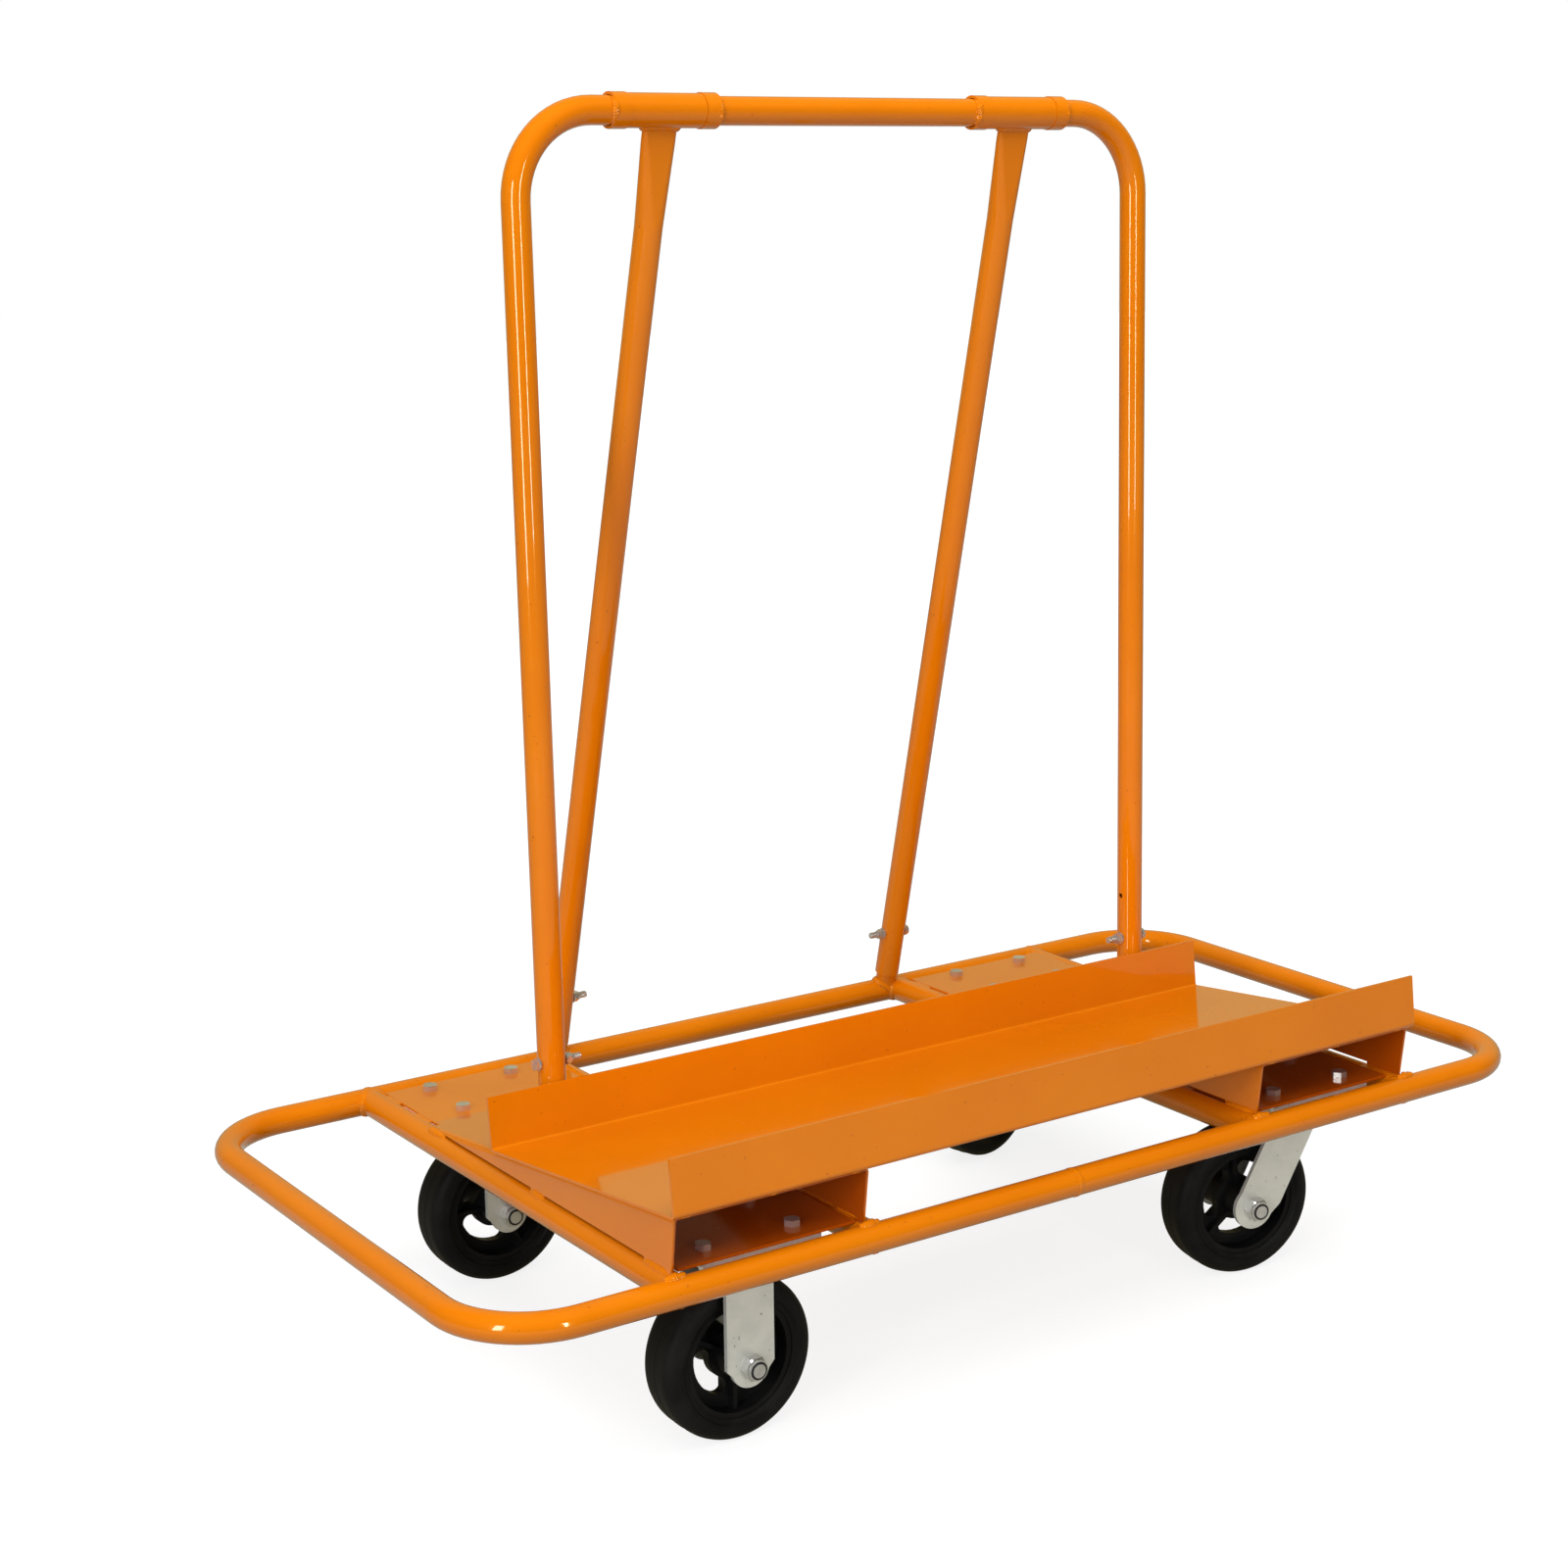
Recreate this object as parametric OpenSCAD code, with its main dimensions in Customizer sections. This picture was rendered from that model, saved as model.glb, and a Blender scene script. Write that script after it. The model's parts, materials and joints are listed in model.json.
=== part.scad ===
// Drywall cart. A tube loop on four casters carries a sloping tray, and a braced hoop stands behind it.
// X runs along the cart, Y to its back and Z up, in millimetres. The floor is Z = 0.

/* [Overall] */
// Length over the base loop
cart_l = 1190; // [1120:5:1300]
// Width over the base loop
cart_w = 590; // [560:5:640]
// Height from the floor to the top of the hoop
cart_h = 1110; // [900:5:1300]

/* [Tube frame] */
// Outside diameter of the frame tubes
tube_d = 25.4; // [23:0.1:28]
// Wall of the frame tubes
tube_wall = 1.8; // [1.4:0.1:2.4]
// Bend radius of the loop's corners, to the middle of the tube
loop_bend_r = 80; // [60:1:100]
// Distance from the middle of the cart to the middle of a caster bay
bay_x = 316; // [300:1:335]
// Distance between the two cross tubes of a bay
bay_w = 191; // [184:1:200]

/* [Hoop and braces] */
// Bend radius of the hoop's corners, to the middle of the tube
hoop_bend_r = 76; // [60:1:100]
// How far the uprights stand outside the middle of the bays
hoop_out = 28; // [10:1:45]
// Lean of the hoop to the back, in degrees
hoop_lean = 1; // [0:0.1:3]
// Height of the hoop's bolts over the sheet that its stubs stand on
hoop_bolt_up = 66; // [50:1:90]
// Distance from an inner cross tube to the foot of the brace beside it
brace_in = 13.5; // [12:0.5:30]
// Distance of the brace bolts from the middle of the back rail, along the brace
brace_bolt_up = 71; // [55:1:90]
// Length of a stub past its bolt
stub_past = 40; // [20:1:60]
// Length of the sleeves at the top of the braces
sleeve_l = 76; // [60:1:90]
// Outside diameter of the sleeves
sleeve_d = 30; // [29.5:0.1:32]
// Length of the stop collars
collar_l = 15.5; // [10:0.5:18]
// Outside diameter of the stop collars
collar_d = 31.5; // [30:0.1:34]
// Width of the flattened brace ends
flat_w = 35; // [30:0.5:39]
// Thickness of the flattened brace ends
flat_t = 6.5; // [5.5:0.1:9]

/* [Supports and tray] */
// Thickness of the folded sheets
sheet_t = 2.5; // [2:0.1:3.5]
// Inside radius of the folds
fold_r = 2; // [1:0.1:4]
// Depth of the flat seats over the rear casters
seat_d = 102; // [96:1:104]
// Depth of the front seats
front_seat_d = 116; // [104:1:120]
// How far the supports' sides stand outside the middle of their bay
support_out = 3.5; // [0:0.5:5]
// Lean of the supports' front edges, in degrees
front_cut = 7; // [0:0.5:12]
// Slope of the tray in degrees
tray_slope = 6.5; // [5:0.1:9]
// Width of the tray over its lips, along the slope
tray_w = 308; // [280:1:330]
// Height of the tray over its lips
tray_lip = 50; // [40:1:60]
// How far the tray runs past the supports at each end
tray_end = 3.5; // [1:0.5:20]
// How far the tray runs past the supports at the front
tray_over = 7; // [0:0.5:12]
// Height of the slits between the stitch welds
slit_h = 2.5; // [1:0.1:3.5]

/* [Casters] */
// Height from the floor to the top of the caster plates
caster_h = 185; // [178:0.5:205]
// Distance from the middle of a long rail to the middle of a caster
caster_inset = 73; // [70:0.5:80]
// How far the casters stand outside the middle of their bay
caster_out = 4.5; // [-4:0.5:8]
// Length of the caster plates along the cart
top_l = 116; // [110:1:126]
// Width of the caster plates across the cart
top_w = 114; // [98:1:116]
// Thickness of the caster plates
top_t = 4; // [3:0.1:5]
// Spacing of the caster bolts along the cart
bolt_dx = 88; // [86:0.5:94]
// Spacing of the caster bolts across the cart
bolt_dy = 68; // [66:0.5:76]
// Thickness of the fork legs
leg_t = 4.5; // [3.5:0.1:5]
// Distance from a swivel axis to its axle
trail = 50; // [42:0.5:56]
// Angle at which the front swivel caster rests
front_turn = -11; // [-90:1:90]
// Angle at which the rear swivel caster rests
rear_turn = 15; // [-90:1:90]

/* [Wheels] */
// Outside diameter of the tyres
wheel_d = 146; // [136:0.5:152]
// Width of the tyres
wheel_w = 46; // [42:0.5:50]
// Radius of the tyres' shoulders
shoulder_r = 12; // [8:0.5:14]
// Radial thickness of the tyres
tyre_t = 20.5; // [18:0.5:23]
// How far a hub stands out of its tyre at each side
hub_side = 8; // [5:0.5:10]
// Outside radius of the hubs
hub_r = 17; // [16:0.5:19]
// Number of windows in a wheel core
windows = 3; // [3:1:5]

/* [Fasteners] */
// Thread diameter of the frame bolts
frame_bolt_d = 6; // [5:0.5:8]
// Thread diameter of the caster bolts
bolt_d = 8; // [6:0.5:9]
// Thread diameter of the axle bolts
axle_d = 12; // [10:0.5:13]
// Diameter of the kingpins
pin_d = 12; // [10:0.5:14]

/* [Hidden] */
$fn = 64;
// Every cut runs past its face by this much
overrun = 1;
// Joined faces that a weld closes
weld_gap = 0.3;
// Seat of a round face on another of the same body
seat_gap = 0.05;
// Radial play of a tube over its stub, and of the sleeves on the top bar
sleeve_play = 0.2;
// Radial play of the stop collars
collar_play = 0.6;
// Radial play of a turning fit
run_gap = 0.05;
// Play between faces that pass each other
side_gap = 0.5;
// Radial play of a bolt in its hole
hole_gap = 0.4;
// Radial play of a nut on its thread
thread_gap = 0.1;

// Loop and cross tubes
tube_r = tube_d / 2;
bore_d = tube_d - 2 * tube_wall;
rail_x = cart_l / 2 - tube_r;
rail_y = cart_w / 2 - tube_r;
seat_top = caster_h + sheet_t;
rail_z = seat_top - tube_r;
outer_x = bay_x + bay_w / 2;
inner_x = bay_x - bay_w / 2;
// Half width of a tube at the underside of a seat between two tubes
seat_chord = sqrt(tube_r * tube_r - (tube_r - sheet_t) * (tube_r - sheet_t));
seat_w = bay_w - 2 * (seat_chord + weld_gap);

// Casters in the plan
caster_x = bay_x + caster_out;
caster_y = rail_y - caster_inset;

// Slope of the supports, measured from the fold behind the rear seat
fold_y = caster_y - seat_d / 2;
support_set = 1.3;
slope_l = (fold_y + rail_y - support_set) / cos(tray_slope);
// Where the slope widens over the tubes, from the fold
wide_s = 12;
wide_l = slope_l - wide_s;
wide_w = bay_w;
support_x = bay_x + support_out;
front_top = seat_top + slope_l * sin(tray_slope);
// How far the supports' feet reach down round the cross tubes
foot_drop = 2.5;
flange_h = slope_l * tan(tray_slope) + tube_d;
// Start and end of the slits, as shares of the flange
slit_shares = [[0.074, 0.451], [0.506, 0.89]];

// Tray on the slope
tray_l = 2 * (support_x + wide_w / 2 + tray_end);
tray_s = slope_l + tray_over - tray_w;
lip_back_y = fold_y - tray_s * cos(tray_slope) + tray_lip * sin(tray_slope);

// Hoop
hoop_gap = 0.4;
hoop_lift = 6;
// Vent hole in the inner side of each upright, over its bolt
vent_d = 5.5;
vent_up = 45;
hoop_x = bay_x + hoop_out;
hoop_y = lip_back_y + tube_r + hoop_gap;
hoop_z = seat_top + (fold_y - hoop_y) * tan(tray_slope);
bar_z = cart_h - tube_r;
hoop_rise = (bar_z - hoop_z) / cos(hoop_lean);
bar_y = hoop_y + hoop_rise * sin(hoop_lean);
stub_d = bore_d - 2 * sleeve_play;
stub_wall = 2;
hoop_stub_l = hoop_bolt_up + stub_past;
bar_half = hoop_x - hoop_bend_r;
// Place of a sleeve on the straight half of the top bar
sleeve_share = 0.735;
sleeve_x = bar_half * sleeve_share;
collar_x = sleeve_l / 2 + weld_gap + collar_l / 2;

// Braces, from the middle of the back rail to the middle of the top bar
brace_foot_x = inner_x - brace_in;
brace_run = [sleeve_x - brace_foot_x, bar_y - rail_y, bar_z - rail_z];
brace_l = norm(brace_run);
brace_lift = 22.5;
brace_stub_l = brace_bolt_up + stub_past;
flat_l = 12;
flare_l = 75;
flat_z = brace_l - sleeve_d / 2 - flat_l;
flare_z = flat_z - flare_l;
flat_wall = 1.2;

// Fasteners
flats_share = 1.625;
head_share = 0.66;
caster_head_share = 0.68;
nut_share = 0.75;
collar_share = 0.25;
washer_share = 2;
washer_t = 1.6;
// Threads past the nuts of the caster bolts, the frame bolts and the axles
bolt_tail = 3;
frame_tail = 9;
axle_tail = 0.8;
chamfer_share = 0.96;

// Heights in the casters
wheel_r = wheel_d / 2;
plate_low = caster_h - top_t;
ball_d = 8;
balls = 14;
race_r = 24;
race_half = 7;
race_h = 3.5;
race_split = 2;
ball_z = plate_low - race_h - race_split / 2;
crown_top = ball_z - race_split / 2 - race_h;
crown_t = 5;
crown_low = crown_top - crown_t;
crown_half = 27;
neck_x = 20;
neck_drop = 17.5;
pin_sink = 0.5;
pin_head_r = 10;
pin_head_h = 6;
hub_l = wheel_w + 2 * hub_side;
fork_half = hub_l / 2 + side_gap;
fork_out = fork_half + leg_t;
leg_r = 21;
leg_corner = 29;
rigid_leg_r = 19;
rigid_half = 23.5;
// Direction in which a straight leg edge meets the round end, from the level
tangent_up = 22;
tangent_low = -33;
rigid_tangent = -26;
// Share of the round end's radius at which a leg's edges end
tangent_share = 0.95;

// Wheel section
rim_r = wheel_r - tyre_t;
rim_t = 5;
rim_side = 4;
web_t = 9;
rib_t = 4;
rib_side = 7;
// Step in a tyre's side, as a share of its flat part, and its depth
step_share = 0.6;
step_t = 1.6;
bead_side = 3;
sleeve_r = 8;
sleeve_bore_r = axle_d / 2 + thread_gap;
axle_sleeve_r = sleeve_bore_r + sleeve_r - axle_d / 2;
bush_r = axle_sleeve_r + 4;
// Wall of a core between its hub and a window, and between a window and its rim
window_in = 5;
window_out = 10.5;
window_low = hub_r + window_in;
window_high = rim_r - rim_t - window_out;
window_mid = (window_high + window_low) / 2;
window_half = (window_high - window_low) / 2;
// Share of the pitch between two windows that a window takes
window_share = 0.82;
arc_steps = 8;
// Angles at which the cores rest: front left, rear left, front right, rear right
core_turns = [89, 0, 41, 20];

// Colours
paint = [0.90, 0.44, 0.04];
zinc = [0.74, 0.74, 0.72];
rubber = [0.07, 0.07, 0.07];
black = [0.05, 0.05, 0.05];
bronze = [0.62, 0.45, 0.22];

// Points of an arc about a middle, from one angle to another
function arc(mid, r, from, to) =
    [for (i = [0:arc_steps]) mid + r * [cos(from + (to - from) * i / arc_steps),
                                        sin(from + (to - from) * i / arc_steps)]];

// Draws the right-hand thing at the right, or mirrors it to the left
module sided(side) {
    if (side < 0) mirror([1, 0, 0]) children();
    else children();
}

// Frame of the slope: its top face is Z = 0 and it rises along -Y from the fold
module slope_frame() {
    translate([0, fold_y, seat_top]) rotate([-tray_slope, 0, 0]) children();
}

// Frame of the hoop: Z runs up the leaning uprights from the sheet under them
module hoop_frame() {
    translate([0, hoop_y, hoop_z]) rotate([-hoop_lean, 0, 0]) children();
}

// Frame of the right brace: Z runs up the brace, and Y is its bolt's direction, outward
module brace_frame() {
    translate([brace_foot_x, rail_y, rail_z])
        rotate([0, acos(brace_run[2] / brace_l), atan2(brace_run[1], brace_run[0])])
            children();
}

// Places of one caster's bolts round its middle
module at_bolts() {
    for (dx = [-1, 1], dy = [-1, 1])
        translate([dx * bolt_dx / 2, dy * bolt_dy / 2, 0]) children();
}

// Place of a left caster, on the floor, for the front (-1) or the rear (1)
module at_rigid(end) {
    translate([-caster_x, end * caster_y, 0]) children();
}

// Place of a right caster, on the floor, turned to its rest angle
module at_swivel(end) {
    translate([caster_x, end * caster_y, 0])
        rotate([0, 0, end < 0 ? front_turn : rear_turn])
            children();
}

// Middle of the wheel in a swivel caster
module at_trail() {
    translate([-trail, 0, wheel_r]) children();
}

// Rod along X, about its middle
module rod_x(d, l) {
    rotate([0, 90, 0]) cylinder(d = d, h = l, center = true);
}

// Rod along Y, about its middle
module rod_y(d, l) {
    rotate([90, 0, 0]) cylinder(d = d, h = l, center = true);
}

// Closed rounded rectangle of round bar, level, about its middle
module loop_bar(d) {
    straight_x = rail_x - loop_bend_r;
    straight_y = rail_y - loop_bend_r;
    for (s = [-1, 1]) {
        translate([0, s * rail_y, 0]) rod_x(d, 2 * straight_x);
        translate([s * rail_x, 0, 0]) rod_y(d, 2 * straight_y);
    }
    for (turn = [0, 1, 2, 3]) {
        sx = turn == 0 || turn == 3 ? 1 : -1;
        sy = turn < 2 ? 1 : -1;
        translate([sx * straight_x, sy * straight_y, 0])
            rotate([0, 0, 90 * turn])
                rotate_extrude(angle = 90) translate([loop_bend_r, 0]) circle(d = d);
    }
}

// Upright U of round bar in the hoop's frame, its legs starting at a height
module hoop_bar(d, from) {
    turn_z = hoop_rise - hoop_bend_r;
    for (s = [-1, 1])
        translate([s * hoop_x, 0, from]) cylinder(d = d, h = turn_z - from);
    translate([bar_half, 0, turn_z])
        rotate([90, 0, 0])
            rotate_extrude(angle = 90) translate([hoop_bend_r, 0]) circle(d = d);
    translate([-bar_half, 0, turn_z])
        rotate([90, 0, 0]) rotate([0, 0, 90])
            rotate_extrude(angle = 90) translate([hoop_bend_r, 0]) circle(d = d);
    translate([0, 0, hoop_rise]) rod_x(d, 2 * bar_half);
}

// Section of a folded channel, open upward, its floor on Y = 0
module channel(w, h) {
    out_r = fold_r + sheet_t;
    translate([out_r - w / 2, 0]) square([w - 2 * out_r, sheet_t]);
    for (s = [-1, 1]) {
        translate([s < 0 ? -w / 2 : w / 2 - sheet_t, out_r]) square([sheet_t, h - out_r]);
        translate([s * (w / 2 - out_r), out_r])
            intersection() {
                difference() {
                    circle(r = out_r);
                    circle(r = fold_r);
                }
                translate([s < 0 ? -out_r : 0, -out_r]) square(out_r);
            }
    }
}

// Prism with hexagon ends and a chamfered top
module hex(flats, h) {
    intersection() {
        cylinder(d = flats / cos(30), h = h, $fn = 6);
        cylinder(d1 = flats * chamfer_share + 2 * h * sqrt(3), d2 = flats * chamfer_share, h = h);
    }
}

// Bolt along Z: its head stands on Z = 0 and its shank runs down
module bolt(d, l, head = head_share) {
    hex(d * flats_share, d * head);
    translate([0, 0, -l]) cylinder(d = d, h = l + d * head / 2);
}

// Lock nut along Z, its seat on Z = 0 and its collar upward
module nut(d) {
    flats = d * flats_share;
    difference() {
        union() {
            hex(flats, d * nut_share);
            cylinder(d = flats * chamfer_share * chamfer_share, h = d * (nut_share + collar_share));
        }
        translate([0, 0, -overrun])
            cylinder(d = d + 2 * thread_gap, h = d * (nut_share + collar_share) + 2 * overrun);
    }
}

// Washer along Z, standing on Z = 0
module washer(d) {
    difference() {
        cylinder(d = d * washer_share, h = washer_t);
        translate([0, 0, -overrun]) cylinder(d = d + 2 * hole_gap, h = washer_t + 2 * overrun);
    }
}

// Turns Z to the outward bolt direction at the four frame bolts
module at_frame_bolts() {
    for (s = [-1, 1]) {
        sided(s) hoop_frame() translate([hoop_x, 0, hoop_bolt_up]) rotate([0, 90, 0]) children();
        sided(s) brace_frame() translate([0, 0, brace_bolt_up]) rotate([-90, 0, 0]) children();
    }
}

// Tube across the cart between the long rails, its ends coped to them
module cross_tube(x) {
    color(paint)
        translate([x, 0, rail_z])
            difference() {
                rod_y(tube_d, 2 * rail_y);
                rod_y(bore_d, 2 * rail_y + 2 * overrun);
                for (s = [-1, 1])
                    translate([0, s * rail_y, 0]) rod_x(tube_d + 2 * seat_gap, 2 * tube_d);
            }
}

// Holes for the bolts of one caster, through the plates over it
module bolt_holes() {
    translate([0, 0, plate_low - overrun])
        at_bolts() cylinder(d = bolt_d + 2 * hole_gap, h = top_t + sheet_t + 2 * overrun);
}

// Right support: flat rear seat, narrow slope between the tubes, then the wide slope with its flanges
module support() {
    color(paint)
        difference() {
            union() {
                translate([bay_x - seat_w / 2, fold_y - sheet_t, caster_h])
                    cube([seat_w, seat_d + sheet_t, sheet_t]);
                slope_frame()
                    translate([bay_x - seat_w / 2, -wide_s - overrun, -sheet_t])
                        cube([seat_w, wide_s + overrun, sheet_t]);
                difference() {
                    slope_frame()
                        translate([support_x, -wide_s, 0])
                            rotate([90, 0, 0])
                                linear_extrude(wide_l) mirror([0, 1]) channel(wide_w, flange_h);
                    translate([bay_x - bay_w, -cart_w / 2, 0])
                        cube([2 * bay_w, cart_w, seat_top - foot_drop]);
                    for (x = [inner_x, outer_x])
                        translate([x, 0, rail_z]) rod_y(tube_d + 2 * seat_gap, cart_w);
                    translate([bay_x, -rail_y, rail_z]) rod_x(tube_d + 2 * seat_gap, 2 * bay_w);
                    translate([bay_x - bay_w, support_set - rail_y, front_top])
                        rotate([front_cut, 0, 0])
                            translate([0, -tray_w, -tray_w]) cube([2 * bay_w, tray_w, 2 * tray_w]);
                    for (slit = slit_shares)
                        translate([bay_x - bay_w,
                                   fold_y - (wide_s + slit[1] * wide_l) * cos(tray_slope),
                                   seat_top - foot_drop - overrun])
                            cube([2 * bay_w,
                                  (slit[1] - slit[0]) * wide_l * cos(tray_slope),
                                  slit_h + foot_drop + overrun]);
                }
            }
            translate([caster_x, caster_y, 0]) bolt_holes();
        }
}

// Right front seat, flat between the tubes
module front_seat() {
    color(paint)
        difference() {
            translate([bay_x - seat_w / 2, -caster_y - front_seat_d / 2, caster_h])
                cube([seat_w, front_seat_d, sheet_t]);
            translate([caster_x, -caster_y, 0]) bolt_holes();
        }
}

// Tube that stands on the right support inside the upright
module hoop_stub() {
    color(paint)
        difference() {
            hoop_frame()
                translate([hoop_x, 0, 0])
                    difference() {
                        translate([0, 0, -stub_d]) cylinder(d = stub_d, h = stub_d + hoop_stub_l);
                        translate([0, 0, -stub_d - overrun])
                            cylinder(d = stub_d - 2 * stub_wall, h = stub_d + hoop_stub_l + 2 * overrun);
                        translate([0, 0, hoop_bolt_up]) rod_x(frame_bolt_d + 2 * hole_gap, 2 * tube_d);
                    }
            slope_frame() translate([0, -cart_w, -cart_w]) cube([cart_l, 2 * cart_w, cart_w]);
        }
}

// Tube that stands on the back rail inside the right brace
module brace_stub() {
    color(paint)
        difference() {
            brace_frame()
                difference() {
                    cylinder(d = stub_d, h = brace_stub_l);
                    translate([0, 0, -overrun])
                        cylinder(d = stub_d - 2 * stub_wall, h = brace_stub_l + 2 * overrun);
                    translate([0, 0, brace_bolt_up]) rod_y(frame_bolt_d + 2 * hole_gap, 2 * tube_d);
                }
            translate([brace_foot_x, rail_y, rail_z]) rod_x(tube_d + 2 * seat_gap, 2 * tube_d);
            translate([inner_x, rail_y, rail_z]) rod_y(tube_d + 2 * seat_gap, 2 * tube_d);
        }
}

// Flattening of a brace's upper end, from round to flat
module flare(round_d, thick, width) {
    end = (width - thick) / 2;
    hull() {
        translate([0, 0, flare_z]) cylinder(d = round_d, h = overrun, $fn = 32);
        for (s = [-1, 1])
            translate([0, s * end, flat_z]) cylinder(d = thick, h = flat_l, $fn = 32);
    }
    for (s = [-1, 1])
        translate([0, s * end, flat_z]) cylinder(d = thick, h = flat_l + sleeve_d / 2);
    translate([-thick / 2, -end, flat_z]) cube([thick, 2 * end, flat_l + sleeve_d / 2]);
}

// Right brace, from the stub on the back rail to the sleeve on the top bar
module brace() {
    color(paint)
        difference() {
            brace_frame()
                difference() {
                    union() {
                        translate([0, 0, brace_lift])
                            cylinder(d = tube_d, h = flare_z - brace_lift + overrun);
                        flare(tube_d, flat_t, flat_w);
                    }
                    translate([0, 0, brace_lift - overrun])
                        cylinder(d = bore_d, h = flare_z - brace_lift + 2 * overrun);
                    hull() {
                        translate([0, 0, flare_z]) cylinder(d = bore_d, h = overrun, $fn = 32);
                        translate([0, 0, flat_z])
                            cube([flat_t - 2 * flat_wall, flat_w - flat_t, overrun], center = true);
                    }
                    translate([0, 0, brace_bolt_up]) rod_y(frame_bolt_d + 2 * hole_gap, 2 * tube_d);
                }
            translate([sleeve_x, bar_y, bar_z]) rod_x(sleeve_d + 2 * seat_gap, 2 * flat_w);
        }
}

// Sleeve of the right brace round the top bar
module brace_sleeve() {
    color(paint)
        translate([sleeve_x, bar_y, bar_z])
            difference() {
                rod_x(sleeve_d, sleeve_l);
                rod_x(tube_d + 2 * sleeve_play, sleeve_l + 2 * overrun);
            }
}

// Swept side of a straight fork leg, seen along the axle
module rigid_leg() {
    rotate([90, 0, 0])
        linear_extrude(leg_t) {
            reach = rigid_leg_r * tangent_share;
            translate([0, wheel_r]) circle(r = rigid_leg_r);
            polygon([
                [-rigid_half, plate_low],
                [-rigid_half, wheel_r],
                [-reach * cos(rigid_tangent), wheel_r + reach * sin(rigid_tangent)],
                [reach * cos(rigid_tangent), wheel_r + reach * sin(rigid_tangent)],
                [rigid_half, wheel_r],
                [rigid_half, plate_low]
            ]);
        }
}

// Rigid fork: top plate, bridge under it and two straight legs
module rigid_fork() {
    color(zinc)
        difference() {
            union() {
                translate([-top_l / 2, -top_w / 2, plate_low]) cube([top_l, top_w, top_t]);
                translate([-rigid_half, -fork_out, plate_low - leg_t])
                    cube([2 * rigid_half, 2 * fork_out, leg_t]);
                translate([0, fork_out, 0]) rigid_leg();
                translate([0, -fork_half, 0]) rigid_leg();
            }
            bolt_holes();
            translate([0, 0, wheel_r]) rod_y(axle_d + 2 * thread_gap, 2 * fork_out + 2 * overrun);
        }
}

// Groove for the balls, cut round the swivel axis
module groove(gap) {
    translate([0, 0, ball_z])
        rotate_extrude() translate([race_r, 0]) circle(r = ball_d / 2 + gap);
}

// Ring that carries a ball race, standing on a height
module race_ring(from) {
    translate([0, 0, from])
        difference() {
            cylinder(r = race_r + race_half, h = race_h);
            translate([0, 0, -overrun]) cylinder(r = race_r - race_half, h = race_h + 2 * overrun);
        }
}

// Top plate of a swivel caster with the upper ball race under it, square to the cart
module swivel_plate(end) {
    color(zinc)
        translate([caster_x, end * caster_y, 0])
            difference() {
                union() {
                    translate([-top_l / 2, -top_w / 2, plate_low]) cube([top_l, top_w, top_t]);
                    race_ring(plate_low - race_h);
                }
                groove(weld_gap);
                bolt_holes();
                translate([0, 0, plate_low - overrun])
                    cylinder(d = pin_d + 2 * seat_gap, h = top_t + 2 * overrun);
            }
}

// Kingpin, held in the top plate and headed under the fork's crown
module kingpin(end) {
    low = crown_low - weld_gap - pin_head_h;
    color(zinc)
        translate([caster_x, end * caster_y, low]) {
            cylinder(r = pin_head_r, h = pin_head_h);
            cylinder(d = pin_d, h = caster_h - pin_sink - low);
        }
}

// Slanting side of a swivel fork, seen along the axle
module swivel_leg() {
    axle = [-trail, wheel_r];
    reach = leg_r * tangent_share;
    rotate([90, 0, 0])
        linear_extrude(leg_t) {
            translate(axle) circle(r = leg_r);
            polygon([
                [-crown_half, crown_top],
                [-crown_half, crown_low - crown_t],
                axle + reach * [-cos(tangent_up), sin(tangent_up)],
                axle,
                axle + reach * [cos(tangent_low), sin(tangent_low)],
                axle + [leg_corner, 0],
                [neck_x, crown_top - neck_drop],
                [crown_half, crown_low],
                [crown_half, crown_top]
            ]);
        }
}

// Swivel fork: crown with the lower ball race and two slanting legs
module swivel_fork(end) {
    color(zinc)
        at_swivel(end)
            difference() {
                union() {
                    translate([-crown_half, -fork_out, crown_low])
                        cube([2 * crown_half, 2 * fork_out, crown_t]);
                    race_ring(crown_top);
                    translate([0, fork_out, 0]) swivel_leg();
                    translate([0, -fork_half, 0]) swivel_leg();
                }
                groove(seat_gap);
                translate([0, 0, crown_low - overrun])
                    cylinder(d = pin_d + 2 * run_gap, h = crown_t + 2 * overrun);
                at_trail() rod_y(axle_d + 2 * thread_gap, 2 * fork_out + 2 * overrun);
            }
}

// Balls of a swivel race
module ball_ring(end) {
    color(zinc)
        at_swivel(end)
            for (i = [0:balls - 1])
                rotate([0, 0, 360 * i / balls]) translate([race_r, 0, ball_z]) sphere(d = ball_d);
}

// Axle bolt about a wheel's middle, its head at the back
module axle() {
    color(zinc)
        translate([0, fork_out, 0])
            rotate([-90, 0, 0])
                bolt(axle_d, 2 * fork_out + axle_d * (nut_share + collar_share) + axle_tail);
}

// Nut of an axle about a wheel's middle, at the front
module axle_nut() {
    color(zinc) translate([0, -fork_out, 0]) rotate([90, 0, 0]) nut(axle_d);
}

// Tube between the fork legs that the wheel turns on
module axle_sleeve() {
    color(zinc)
        difference() {
            rod_y(2 * axle_sleeve_r, 2 * fork_half);
            rod_y(2 * sleeve_bore_r, 2 * fork_half + 2 * overrun);
        }
}

// Ring about a wheel's axle, from its section with the radius along X
module turned() {
    rotate([90, 0, 0]) rotate_extrude() children();
}

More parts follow.
